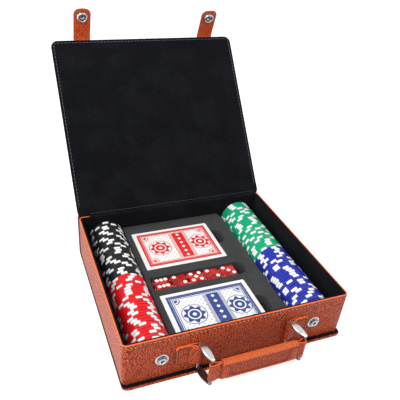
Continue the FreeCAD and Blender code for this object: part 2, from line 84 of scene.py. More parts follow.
@dataclass
class Shell:
    """A surface in millimetres: points, four-sided and three-sided faces, finish numbers and point marks."""

    points: Array
    quads: Array
    triangles: Array
    quad_finish: Array
    triangle_finish: Array
    marks: Array

    def placed(self, turn: Array, shift: Array) -> "Shell":
        """The surface turned by a 3 by 3 matrix and then moved.

        Args:
            turn: rows are the new axes of each coordinate, point' = turn @ point + shift.
            shift: three numbers in millimetres.

        Returns:
            A new surface that shares the faces.
        """
        points = self.points @ np.asarray(turn, float).T + np.asarray(shift, float)
        return Shell(points, self.quads, self.triangles, self.quad_finish, self.triangle_finish, self.marks)

    def finished(self, number: int) -> "Shell":
        """The surface with every face on one finish number."""
        return Shell(self.points, self.quads, self.triangles, np.full(len(self.quads), number),
                     np.full(len(self.triangles), number), self.marks)

    def marked(self, value: float) -> "Shell":
        """The surface with one mark value on every point."""
        return Shell(self.points, self.quads, self.triangles, self.quad_finish, self.triangle_finish,
                     np.full(len(self.points), value))

    def faced_out(self) -> "Shell":
        """The surface with its faces pointing outwards.

        The sign of the enclosed volume, the sum of a . (b x c) over all triangles, says which way they point.

        Returns:
            The same surface, its faces reversed where that volume is negative.
        """
        three = np.vstack([self.triangles, self.quads[:, [0, 1, 2]], self.quads[:, [0, 2, 3]]])
        a, b, c = (self.points[three[:, k]] for k in range(3))
        if np.einsum("ij,ij->i", a, np.cross(b, c)).sum() >= 0:
            return self
        return Shell(self.points, self.quads[:, ::-1], self.triangles[:, ::-1], self.quad_finish,
                     self.triangle_finish, self.marks)


def joined(shells: Sequence[Shell]) -> Shell:
    """Puts several surfaces into one.

    Args:
        shells: the surfaces.

    Returns:
        One surface whose face numbers are shifted by the points before them.
    """
    starts = np.cumsum([0] + [len(s.points) for s in shells[:-1]])
    return Shell(np.vstack([s.points for s in shells]),
                 np.vstack([s.quads + start for s, start in zip(shells, starts)]),
                 np.vstack([s.triangles + start for s, start in zip(shells, starts)]),
                 np.concatenate([s.quad_finish for s in shells]),
                 np.concatenate([s.triangle_finish for s in shells]),
                 np.concatenate([s.marks for s in shells]))


def grid(points: Array, close_u: bool = False, close_v: bool = True, cap_first: bool = True,
         cap_last: bool = True) -> Shell:
    """A surface over a grid of points, with a fan of triangles to the mean point at each end of u.

    Args:
        points: (u, v, 3) in millimetres.
        close_u: the last row joins the first.
        close_v: the last column joins the first.
        cap_first: close the first row, where u isn't closed.
        cap_last: close the last row, where u isn't closed.

    Returns:
        The surface, faces outwards.
    """
    nu, nv = points.shape[:2]
    number = np.arange(nu * nv).reshape(nu, nv)
    rows = number if not close_u else np.vstack([number, number[:1]])
    rows = rows if not close_v else np.hstack([rows, rows[:, :1]])
    quads = np.stack([rows[:-1, :-1], rows[1:, :-1], rows[1:, 1:], rows[:-1, 1:]], axis=-1).reshape(-1, 4)
    flat = points.reshape(-1, 3)
    fans = []
    if not close_u:
        ends = ([(number[0], False)] if cap_first else []) + ([(number[-1], True)] if cap_last else [])
        for ring, last in ends:
            centre = len(flat)
            flat = np.vstack([flat, flat[ring].mean(axis=0)])
            after = np.roll(ring, -1)
            pair = (ring, after) if last else (after, ring)
            fans.append(np.stack([pair[0], np.full(len(ring), centre), pair[1]], axis=-1))
    triangles = np.vstack(fans) if fans else np.zeros((0, 3), int)
    return Shell(flat, quads, triangles, np.zeros(len(quads), int), np.zeros(len(triangles), int),
                 np.zeros(len(flat))).faced_out()


@dataclass(frozen=True)
class Outline:
    """A smooth closed plan outline: each point is its arc's centre plus radius times normal."""

    centres: Array
    normals: Array
    radii: Array

    def at(self, inset: float) -> Array:
        """The outline drawn in by an inset, which shortens every radius."""
        return self.centres + (self.radii - inset)[:, None] * self.normals


def rounded_rectangle(x: Pair, y: Pair, radii: Sequence[float], corner: int = 10, side: int = 12) -> Outline:
    """A rectangle with rounded corners.

    Args:
        x: lowest and highest x.
        y: lowest and highest y.
        radii: corner radii at front left, front right, back right and back left.
        corner: points on each corner arc.
        side: steps along each straight side.

    Returns:
        The outline, anticlockwise, a quarter circle at each corner and even steps between.
    """
    at = [(x[0] + radii[0], y[0] + radii[0]), (x[1] - radii[1], y[0] + radii[1]),
          (x[1] - radii[2], y[1] - radii[2]), (x[0] + radii[3], y[1] - radii[3])]
    centres, normals, sizes = [], [], []
    for k in range(4):
        angles = np.radians(180 + 90 * k + np.linspace(0, 90, corner))
        centres.append(np.repeat([at[k]], corner, axis=0))
        normals.append(np.stack([np.cos(angles), np.sin(angles)], axis=1))
        sizes.append(np.full(corner, radii[k]))
        step = np.linspace(0, 1, side + 1)[1:-1, None]
        after = (k + 1) % 4
        centres.append(np.array(at[k]) * (1 - step) + np.array(at[after]) * step)
        normals.append(np.repeat(normals[-1][-1:], side - 1, axis=0))
        sizes.append((radii[k] * (1 - step) + radii[after] * step)[:, 0])
    return Outline(np.vstack(centres), np.vstack(normals), np.concatenate(sizes))


def hoop(outline: Outline, profile: Sequence[Pair]) -> Shell:
    """A closed profile of (inset, height) pairs carried round an outline."""
    rings = [np.column_stack([outline.at(d), np.full(len(outline.radii), z)]) for d, z in profile]
    return grid(np.stack(rings), close_u=True)


def slab(outline: Outline, profile: Sequence[Pair], rings: Sequence[float] = (0.85, 0.6, 0.3),
         crown: float = 0.0, under: Sequence[float] = ()) -> Shell:
    """A slab whose edge is an open profile carried round an outline, filled in by shrinking rings.

    A ring is the profile's last ring scaled by t about the middle, raised by crown times 1 - t squared. The
    rings of the under face are its first ring scaled by t.

    Args:
        outline: the plan outline.
        profile: (inset, height) pairs from the under face to the upper face.
        rings: the scales t of the inner rings, largest first.
        crown: how far the middle of the upper face stands above its edge.
        under: the scales t of the under face's rings, smallest first.

    Returns:
        The closed surface.
    """
    edge = [np.column_stack([outline.at(d), np.full(len(outline.radii), z)]) for d, z in profile]
    middle = edge[0].mean(axis=0)
    lower = [middle + (edge[0] - middle) * t for t in under]
    middle = edge[-1].mean(axis=0)
    upper = [middle + (edge[-1] - middle) * t + np.array([0, 0, crown * (1 - t * t)]) for t in rings]
    return grid(np.stack(lower + edge + upper))


def lathe(profile: Sequence[Pair], sides: int = 40, second: Sequence[int] = ()) -> Shell:
    """A turned surface: (radius, height) pairs carried round the Z axis.

    Args:
        profile: the pairs.
        sides: how many facets go round.
        second: the profile's segments that have the second finish.

    Returns:
        The surface, closed where the profile ends.
    """
    angle = np.linspace(0, 2 * math.pi, sides, endpoint=False)
    around = np.stack([np.cos(angle), np.sin(angle)], axis=1)
    rings = [np.column_stack([around * max(r, 1e-4), np.full(sides, z)]) for r, z in profile]
    shell = grid(np.stack(rings))
    shell.quad_finish[:] = np.repeat(np.isin(np.arange(len(profile) - 1), second), sides)
    shell.triangle_finish[:sides] = 0 in second
    return shell


def unit(vectors: Array) -> Array:
    """The vectors divided by their lengths."""
    return vectors / np.maximum(np.linalg.norm(vectors, axis=-1, keepdims=True), 1e-12)


def resampled(points: Array, step: float) -> Array:
    """A line of points at even distances along a polyline.

    Args:
        points: (n, 3) corners of the polyline.
        step: the wanted distance.

    Returns:
        (m, 3) points, each found by linear interpolation on the length so far.
    """
    points = np.asarray(points, float)
    length = np.concatenate([[0], np.cumsum(np.linalg.norm(np.diff(points, axis=0), axis=1))])
    at = np.linspace(0, length[-1], max(2, round(length[-1] / step) + 1))
    return np.stack([np.interp(at, length, points[:, k]) for k in range(points.shape[1])], axis=1)


def eased(points: Array, step: float, reach: float) -> Array:
    """A polyline made even and its corners eased by a running mean, its ends kept.

    Args:
        points: (n, 3) corners of the polyline.
        step: distance between the points.
        reach: length of the running mean.

    Returns:
        (m, 3) points.
    """
    line = resampled(points, step)
    half = max(1, round(reach / step / 2))
    for _ in range(2):
        before = line[:1] - (line[1:half + 1] - line[:1])[::-1]
        after = line[-1:] + (line[-1:] - line[-half - 1:-1])[::-1]
        padded = np.vstack([before, line, after])
        window = np.ones(2 * half + 1) / (2 * half + 1)
        line = np.stack([np.convolve(padded[:, k], window, "valid") for k in range(3)], axis=1)
    return line


def band(path: Array, across: Array, thick: float, half: Union[float, Array], ease: float = 0.35,
         edge_paint_and_light: str = "") -> Shell:
    """A flat band with rounded edges carried along a path.

    The section at a point is path + a times normal + b times across, with (a, b) on a rectangle with rounded
    corners, thick by twice half, and the first and last sections drawn in to round the ends.

    Args:
        path: (n, 3) middle line.
        across: (3,) or (n, 3) direction of the width.
        thick: thickness.
        half: half the width, one number or one for each point.
        ease: corner radius as a share of the thickness.
        edge_paint_and_light: "sides" puts the narrow faces on the second finish, which the callers use for edge ink
            and for painted shade, and "lit" the ends and the narrow face away from across on the second, for painted
            shade, and the one towards it on the third, for a painted highlight.

    Returns:
        The closed surface.
    """
    n = len(path)
    across = unit(np.broadcast_to(across, (n, 3)).astype(float))
    tangent = unit(np.gradient(path, axis=0))
    normal = unit(np.cross(tangent, across))
    half = np.broadcast_to(half, (n,)).astype(float)
    r = thick * ease
    corner = np.radians(np.array([0, 30, 60, 90]))
    a = np.concatenate([thick / 2 - r + r * np.sin(corner[::-1]), -(thick / 2 - r) - r * np.sin(corner)])
    b = np.concatenate([r * np.cos(corner[::-1]), r * np.cos(corner)]) - r
    a = np.concatenate([a, a[::-1]])
    side = np.repeat([1.0, -1.0], len(b))
    b = np.concatenate([b, b[::-1]])
    steps = 9
    inner = np.linspace(-1, 1, steps + 2)[1:-1]
    flat_a = np.concatenate([a[:8], np.full(steps, -thick / 2), a[8:], np.full(steps, thick / 2)])
    edge = np.concatenate([side[:8], -inner, side[8:], inner])
    soft = np.concatenate([b[:8], np.zeros(steps), b[8:], np.zeros(steps)])
    on_edge = np.concatenate([np.sign(side[:8]), np.zeros(steps), np.sign(side[8:]), np.zeros(steps)])
    reach = half[:, None] * edge[None, :] + (on_edge * soft)[None, :]
    rings = path[:, None, :] + flat_a[None, :, None] * normal[:, None, :] + reach[..., None] * across[:, None, :]
    ends = []
    for k, way in ((0, -1), (-1, 1)):
        flat = rings[k] - path[k]
        along_n = (flat @ normal[k])[:, None] * normal[k]
        along_b = (flat @ across[k])[:, None] * across[k]
        shrink = np.maximum(0.0, 1 - r / max(half[k], 1e-6))
        base = path[k] + along_n * (1 - 2 * ease * 0.8) + along_b * shrink
        ends.append(base + way * tangent[k] * r * 0.8)
    shell = grid(np.concatenate([ends[0][None], rings, ends[1][None]]))
    row, column = np.divmod(np.arange(len(shell.quads)), len(flat_a))
    if edge_paint_and_light == "sides":
        shell.quad_finish[:] = ((column > 0) & (column < 6)) | ((column > 17) & (column < 23))
    if edge_paint_and_light == "lit":
        shell.quad_finish[:] = (row == 0) | (row == n) | ((column > 17) & (column < 23))
        shell.quad_finish[(column > 0) & (column < 6)] = 2
        shell.triangle_finish[:] = 1
    return shell


def rounded_ends(length: Array, total: float, half: float, first: float, last: float) -> Array:
    """Half widths along a band whose ends have rounded corners: half - r + sqrt(r2 - (r - s)2) near each end."""
    widths = np.full(len(length), float(half))
    for radius, distance in ((first, length), (last, total - length)):
        near = np.clip(radius - distance, 0, radius)
        widths -= radius - np.sqrt(np.maximum(radius * radius - near * near, 0)) if radius > 0 else 0
    return widths


def measured(path: Array) -> Array:
    """The length along a path up to each of its points."""
    return np.concatenate([[0], np.cumsum(np.linalg.norm(np.diff(path, axis=0), axis=1))])


@dataclass(frozen=True)
class Thread:
    """A run of stitches: each a short thread that rises from its hole and dips into the next."""

    pitch: float = 3.3
    length: float = 2.5
    width: float = 0.5
    rise: float = 0.28

    def stitched(self, path: Array, normal: Array, seed: int = 1) -> Shell:
        """Stitches along a path, with a dark sunk needle hole, its darkness painted shade, on the second finish
        between every two of them.

        Args:
            path: (n, 3) line in millimetres.
            normal: (3,) or (n, 3) direction away from the surface.
            seed: for the small unevenness.

        Returns:
            The stitches and the holes.
        """
        gap = max(0.5, self.pitch - self.length)
        hole = Thread(self.pitch, gap + 0.5, self.width * 1.5, 0.0)
        return joined([self.run(path, normal, seed), hole.run(path, normal, seed, 0).finished(1)])

    def run(self, path: Array, normal: Array, seed: int = 1, first: int = 2) -> Shell:
        """Stitches along a path.

        A stitch is a tube along x from -1 to 1 with radius width / 2 times sqrt(1 - 0.9 x4), bowed up by
        rise times 1 - x2, set at even distances with the path's direction, the normal and their product.

        Args:
            path: (n, 3) line in millimetres.
            normal: (3,) or (n, 3) direction away from the surface.
            seed: for the small unevenness.
            first: quarters of the pitch before the first stitch's middle.

        Returns:
            All the stitches as one surface.
        """
        count = max(1, round(measured(path)[-1] / self.pitch))
        fine = resampled(path, measured(path)[-1] / (count * 4))
        spots = fine[first::4]
        tangent = unit(np.gradient(fine, axis=0)[first::4])
        if np.ndim(normal) == 2:
            ratio = np.linspace(0, len(path) - 1, len(fine))[first::4]
            normal = np.stack([np.interp(ratio, np.arange(len(path)), normal[:, k]) for k in range(3)], axis=1)
        up = unit(np.broadcast_to(normal, spots.shape))
        side = unit(np.cross(up, tangent))
        x = np.array([-1.0, -0.72, 0.0, 0.72, 1.0])
        radius = self.width / 2 * np.sqrt(1 - 0.9 * x ** 4)
        angle = np.linspace(0, 2 * math.pi, 6, endpoint=False)
        one = np.stack([np.repeat(x[:, None] * self.length / 2, 6, axis=1),
                        radius[:, None] * np.cos(angle)[None],
                        radius[:, None] * np.sin(angle)[None] * 0.8 + (self.rise * (1 - x * x) - 0.12)[:, None]],
                       axis=-1)
        shell = grid(one)
        chance = np.random.default_rng(seed)
        twist = chance.normal(0, 0.035, len(spots))[:, None]
        tangent = unit(tangent + twist * side)
        side = unit(np.cross(up, tangent))
        local = shell.points
        points = (spots[:, None] + local[None, :, :1] * tangent[:, None] + local[None, :, 1:2] * side[:, None]
                  + local[None, :, 2:] * up[:, None]).reshape(-1, 3)
        shift = (np.arange(len(spots)) * len(local))[:, None, None]
        quads = (shell.quads[None] + shift).reshape(-1, 4)
        triangles = (shell.triangles[None] + shift).reshape(-1, 3)
        return Shell(points, quads, triangles, np.zeros(len(quads), int), np.zeros(len(triangles), int),
                     np.zeros(len(points)))


# Shader expressions


class Term:
    """A shader value that takes part in arithmetic."""

    def __init__(self, recipe: "Recipe", socket: bpy.types.NodeSocket) -> None:
        """Keeps the socket and the recipe that its new nodes go to."""
        self.recipe = recipe
        self.socket = socket

    def apply(self, operation: str, *others: Union["Term", float], swap: bool = False) -> "Term":
        """A Math node on this value.

        Args:
            operation: the Math node's operation.
            others: its further operands.
            swap: put the first of the others before this value.

        Returns:
            The result.
        """
        operands = [self, *others]
        if swap:
            operands[0], operands[1] = operands[1], operands[0]
        made = self.recipe.node("ShaderNodeMath", {"operation": operation}, dict(enumerate(operands)))
        return Term(self.recipe, made.outputs[0])

    def __add__(self, other: Union["Term", float]) -> "Term":
        """Sum."""
        return self.apply("ADD", other)

    __radd__ = __add__

    def __sub__(self, other: Union["Term", float]) -> "Term":
        """Difference."""
        return self.apply("SUBTRACT", other)

    def __rsub__(self, other: float) -> "Term":
        """Difference from a number."""
        return self.apply("SUBTRACT", other, swap=True)

    def __mul__(self, other: Union["Term", float]) -> "Term":
        """Product."""
        return self.apply("MULTIPLY", other)

    __rmul__ = __mul__

    def __truediv__(self, other: Union["Term", float]) -> "Term":
        """Quotient."""
        return self.apply("DIVIDE", other)

    def __pow__(self, other: float) -> "Term":
        """Power."""
        return self.apply("POWER", other)

    def __abs__(self) -> "Term":
        """Size without sign."""
        return self.apply("ABSOLUTE")

    def least(self, other: Union["Term", float]) -> "Term":
        """The smaller of two values."""
        return self.apply("MINIMUM", other)

    def most(self, other: Union["Term", float]) -> "Term":
        """The larger of two values."""
        return self.apply("MAXIMUM", other)

    def step(self, low: float, high: float, first: float = 0.0, last: float = 1.0) -> "Term":
        """A smooth step from first at low to last at high."""
        made = self.recipe.node("ShaderNodeMapRange", {"interpolation_type": "SMOOTHSTEP"},
                                {"Value": self, "From Min": low, "From Max": high, "To Min": first, "To Max": last})
        return Term(self.recipe, made.outputs[0])


class Recipe:
    """A material's node tree, built from expressions."""

    def __init__(self, owner: Union[bpy.types.Material, bpy.types.World]) -> None:
        """Empties the node tree of a material or a world."""
        owner.use_nodes = True
        self.owner = owner
        self.tree = owner.node_tree
        self.tree.nodes.clear()

    @classmethod
    def named(cls, name: str) -> "Recipe":
        """A recipe for a new material."""
        return cls(bpy.data.materials.new(name))

    def node(self, kind: str, settings: Optional[dict] = None, inputs: Optional[dict] = None) -> bpy.types.Node:
        """A node with its settings set first, and then its sockets.

        Args:
            kind: the node's type.
            settings: its properties.
            inputs: values, terms or sockets by input name or number.

        Returns:
            The node.
        """
        made = self.tree.nodes.new(kind)
        for key, value in (settings or {}).items():
            setattr(made, key, value)
        for key, value in (inputs or {}).items():
            if isinstance(value, Term):
                self.tree.links.new(value.socket, made.inputs[key])
            elif isinstance(value, bpy.types.NodeSocket):
                self.tree.links.new(value, made.inputs[key])
            else:
                made.inputs[key].default_value = value
        return made

    def place(self, turn: Sequence[float] = (0, 0, 0), stretch: Sequence[float] = (1, 1, 1)) -> Term:
        """Object coordinates, turned and stretched."""
        where = self.node("ShaderNodeTexCoord").outputs["Object"]
        if tuple(turn) == (0, 0, 0) and tuple(stretch) == (1, 1, 1):
            return Term(self, where)
        made = self.node("ShaderNodeMapping", None, {"Vector": where, "Rotation": turn, "Scale": stretch})
        return Term(self, made.outputs[0])

    def axes(self, where: Term) -> tuple[Term, Term, Term]:
        """The three coordinates of a place, in millimetres."""
        parts = self.node("ShaderNodeSeparateXYZ", None, {0: where})
        return tuple(Term(self, out) * 1000.0 for out in parts.outputs)

    def noise(self, where: Term, size: float, detail: float = 2.0, rough: float = 0.5) -> Term:
        """Noise from 0 to 1 with features of a size in millimetres."""
        made = self.node("ShaderNodeTexNoise", None,
                         {"Vector": where, "Scale": 1000.0 / size, "Detail": detail, "Roughness": rough})
        return Term(self, made.outputs[0])

    def warped(self, where: Term, size: float, amount: float) -> Term:
        """A place pushed about by noise of a size, by an amount, both in millimetres."""
        made = self.node("ShaderNodeTexNoise", None, {"Vector": where, "Scale": 1000.0 / size, "Detail": 1.0})
        centred = self.node("ShaderNodeVectorMath", {"operation": "SUBTRACT"}, {0: made.outputs["Color"],
                                                                              1: (0.5, 0.5, 0.5)})
        pushed = self.node("ShaderNodeVectorMath", {"operation": "MULTIPLY_ADD"},
                           {0: centred.outputs[0], 1: (amount * 2 * MM,) * 3, 2: where})
        return Term(self, pushed.outputs[0])

    def cells(self, where: Term, size: float, feature: str = "F1", even: float = 0.9) -> Term:
        """The distances of a cell pattern with cells of a size in millimetres, from even at 0 to random at 1."""
        made = self.node("ShaderNodeTexVoronoi", {"feature": feature},
                         {"Vector": where, "Scale": 1000.0 / size, "Randomness": even})
        return Term(self, made.outputs["Distance"])

    def mark(self, name: str) -> Term:
        """A point mark of the mesh."""
        return Term(self, self.node("ShaderNodeAttribute", {"attribute_name": name}).outputs["Fac"])

    def blend(self, share: Union[Term, float], a: Union[Term, Colour], b: Union[Term, Colour]) -> Term:
        """A colour between two colours."""
        made = self.node("ShaderNodeMix", {"data_type": "RGBA"},
                         {0: share, 6: a if isinstance(a, Term) else (*a, 1.0),
                          7: b if isinstance(b, Term) else (*b, 1.0)})
        return Term(self, made.outputs[2])

    def surface(self, height: Optional[Term] = None, depth: float = 0.1, **inputs: object) -> bpy.types.Material:
        """Ends the recipe in one shader.

        Args:
            height: relief from 0 to 1.
            depth: what a relief of 1 measures, in millimetres.
            inputs: the shader's sockets, with _ for a space.

        Returns:
            The material.
        """
        values = {key.replace("_", " "): value for key, value in inputs.items()}
        for key, value in values.items():
            if isinstance(value, tuple) and len(value) == 3:
                values[key] = (*value, 1.0)
        if height is not None:
            bump = self.node("ShaderNodeBump", None, {"Height": height, "Distance": depth * MM, "Strength": 1.0})
            values["Normal"] = bump.outputs[0]
        shader = self.node("ShaderNodeBsdfPrincipled", None, values)
        self.node("ShaderNodeOutputMaterial", None, {"Surface": shader.outputs[0]})
        return self.owner


# Finishes


@dataclass(frozen=True)
class Leatherette:
    """Coated cloth embossed with a pebble grain: glossy tops with a painted highlight, and creases darkened with
    painted shade.
    """

    name: str = "leatherette"
    tone: Colour = (0.57, 0.074, 0.011)
    crease: Colour = (0.17, 0.013, 0.002)
    top_highlight: Colour = (0.99, 0.210, 0.050)
    pebble: float = 1.6
    relief: float = 0.34
    run: float = 1.0

    def material(self) -> bpy.types.Material:
        """Pebbles from two cell patterns.

        The pebbles lie in rows that bend, as the place is warped by broad noise and stretched by run before the cells
        are laid. A pebble's height is its distance to the cell's edge; the creases, where it is small, take a painted
        shade, and the tops, where it is large, a painted highlight. The mesh's mark adds a painted highlight above
        nought and a painted shade below it.

        Returns:
            The material.
        """
        recipe = Recipe.named(self.name)
        bent = recipe.warped(recipe.place(turn=(0.5, 0.35, 0.7), stretch=(1.0, self.run, 1.0)), 26.0, 7.0)
        where = recipe.warped(bent, 3.0, 0.5)
        edge = recipe.cells(where, self.pebble, "DISTANCE_TO_EDGE", even=0.55)
        fine = recipe.cells(where, self.pebble * 0.45, "F1")
        uneven = recipe.noise(recipe.place(), 5.0, 2.0)
        pebble = (edge + (uneven - 0.5) * 0.10).step(0.02, 0.36)
        broad = recipe.noise(recipe.place(), 24.0, 3.0)
        # Painted shade in the creases and a painted highlight on the pebble tops.
        colour = recipe.blend(pebble.step(0.0, 0.62), self.crease, self.tone)
        top = pebble.step(0.45, 1.0) * (0.45 + broad * 0.5)
        colour = recipe.blend(top * 0.72, colour, self.top_highlight)
        # The mark paints a highlight above nought and shade below it.
        painted_light = recipe.mark("turn")
        colour = recipe.blend(painted_light.most(0.0), colour, self.top_highlight)
        colour = recipe.blend((painted_light * -1.0).most(0.0), colour, self.crease)
        height = pebble * 0.85 + (1 - fine) * 0.15
        rough = 0.50 - pebble * 0.18 + broad * 0.06
        return recipe.surface(height, self.relief, Base_Color=colour, Roughness=rough, Specular_IOR_Level=0.22,
                              Sheen_Weight=0.18, Sheen_Roughness=0.25, Sheen_Tint=(1.0, 0.86, 0.80))


@dataclass(frozen=True)
class Nap:
    """Short dense nap: nearly black, with soft patches where the pile lies another way."""

    name: str = "lining"
    deep: Colour = (0.0016, 0.0019, 0.0030)
    lifted: Colour = (0.0092, 0.0098, 0.0130)
    sheen: float = 0.03
    relief: float = 0.16

    def material(self) -> bpy.types.Material:
        """Fine noise for the pile over broad noise for the patches."""
        recipe = Recipe.named(self.name)
        pile = recipe.noise(recipe.place(), 1.1, 2.0, 0.6)
        patch = recipe.noise(recipe.warped(recipe.place(), 40.0, 14.0), 30.0, 3.0)
        brushed = recipe.noise(recipe.place(stretch=(1.0, 0.25, 0.25)), 5.0, 2.0)
        share = patch.step(0.40, 0.66) * 0.32 + pile.step(0.35, 0.68) * 0.55 + brushed.step(0.5, 0.8) * 0.18
        colour = recipe.blend(share, self.deep, self.lifted)
        return recipe.surface(pile, self.relief, Base_Color=colour, Roughness=0.95, Sheen_Weight=self.sheen,
                              Sheen_Roughness=0.5, Specular_IOR_Level=0.08)


@dataclass(frozen=True)
class Board:
    """Grey board: flecked fibres."""

    name: str = "board"
    tone: Colour = (0.20, 0.18, 0.155)
    fleck: Colour = (0.34, 0.32, 0.29)

    def material(self) -> bpy.types.Material:
        """Stretched noise for the fibres."""
        recipe = Recipe.named(self.name)
        fibre = recipe.noise(recipe.place(stretch=(1.0, 3.0, 2.0)), 1.2, 3.0)
        colour = recipe.blend(fibre.step(0.4, 0.65), self.tone, self.fleck)
        return recipe.surface(fibre, 0.05, Base_Color=colour, Roughness=0.9)


@dataclass(frozen=True)
class Metal:
    """Polished plated metal with hairline scratches and a faint haze."""

    name: str = "polished_metal"
    tone: Colour = (0.80, 0.81, 0.83)
    haze: float = 0.10

    def material(self) -> bpy.types.Material:
        """Haze noise and crossed hairlines in the roughness."""
        recipe = Recipe.named(self.name)
        haze = recipe.noise(recipe.place(), 3.5, 3.0)
        hair = recipe.noise(recipe.place(turn=(0.2, 0.5, 0.6), stretch=(14.0, 1.0, 1.0)), 1.6, 2.0)
        rough = haze.step(0.3, 0.8, self.haze * 0.6, self.haze * 1.8) + hair.step(0.62, 0.72) * 0.06
        return recipe.surface(hair, 0.002, Base_Color=self.tone, Metallic=1.0, Roughness=rough)


@dataclass(frozen=True)
class ChipBody:
    """Moulded chip: six white blocks let into the edge, and a plain face with a faint ring."""

    name: str
    tone: Colour
    centre_x: float
    white: Colour = (0.94, 0.94, 0.93)
    centre_z: float = 24.0
    blocks: float = 6.0
    block_share: float = 0.325
    block_reach: float = 14.8
    pitch: float = 3.75
    first_y: float = 0.5

    def material(self) -> bpy.types.Material:
        """Angle round the row's axis plus the chip's own turn, folded into six, gives the blocks.

        The length along the row, folded by the pitch, darkens the meeting edges of the chips with a painted shade.

        Returns:
            The material.
        """
        recipe = Recipe.named(self.name)
        x, y, z = recipe.axes(recipe.place())
        across, up = x - self.centre_x, z - self.centre_z
        seam = 0.5 - abs(((y - self.first_y) / self.pitch + 60.0).apply("FRACT") - 0.5)
        angle = up.apply("ARCTAN2", across) / (2 * math.pi) + recipe.mark("turn")
        fold = abs((angle * self.blocks + 30.0).apply("FRACT") - 0.5)
        half = self.block_share / 2
        block = fold.step(half - 0.012, half + 0.012, 1.0, 0.0)
        radius = (across * across + up * up).apply("SQRT")
        block = block * radius.step(self.block_reach - 0.15, self.block_reach + 0.15)
        ring = abs(radius - 12.1).step(0.25, 0.4, 1.0, 0.0)
        cloud = recipe.noise(recipe.place(), 6.0, 3.0)
        grain = recipe.noise(recipe.place(), 0.35, 2.0)
        darker = tuple(c * 0.82 for c in self.tone)
        colour = recipe.blend(cloud.step(0.35, 0.7), self.tone, darker)
        colour = recipe.blend(block.most(ring * 0.8), colour, self.white)
        shade = tuple(c * 0.25 for c in self.tone)
        # Painted shade in the gaps between neighbouring chips.
        colour = recipe.blend(seam.step(0.03, 0.17, 0.62, 0.0) * radius.step(18.0, 19.0), colour, shade)
        rough = 0.36 + grain * 0.12
        return recipe.surface(grain, 0.02, Base_Color=colour, Roughness=rough, Specular_IOR_Level=0.3)


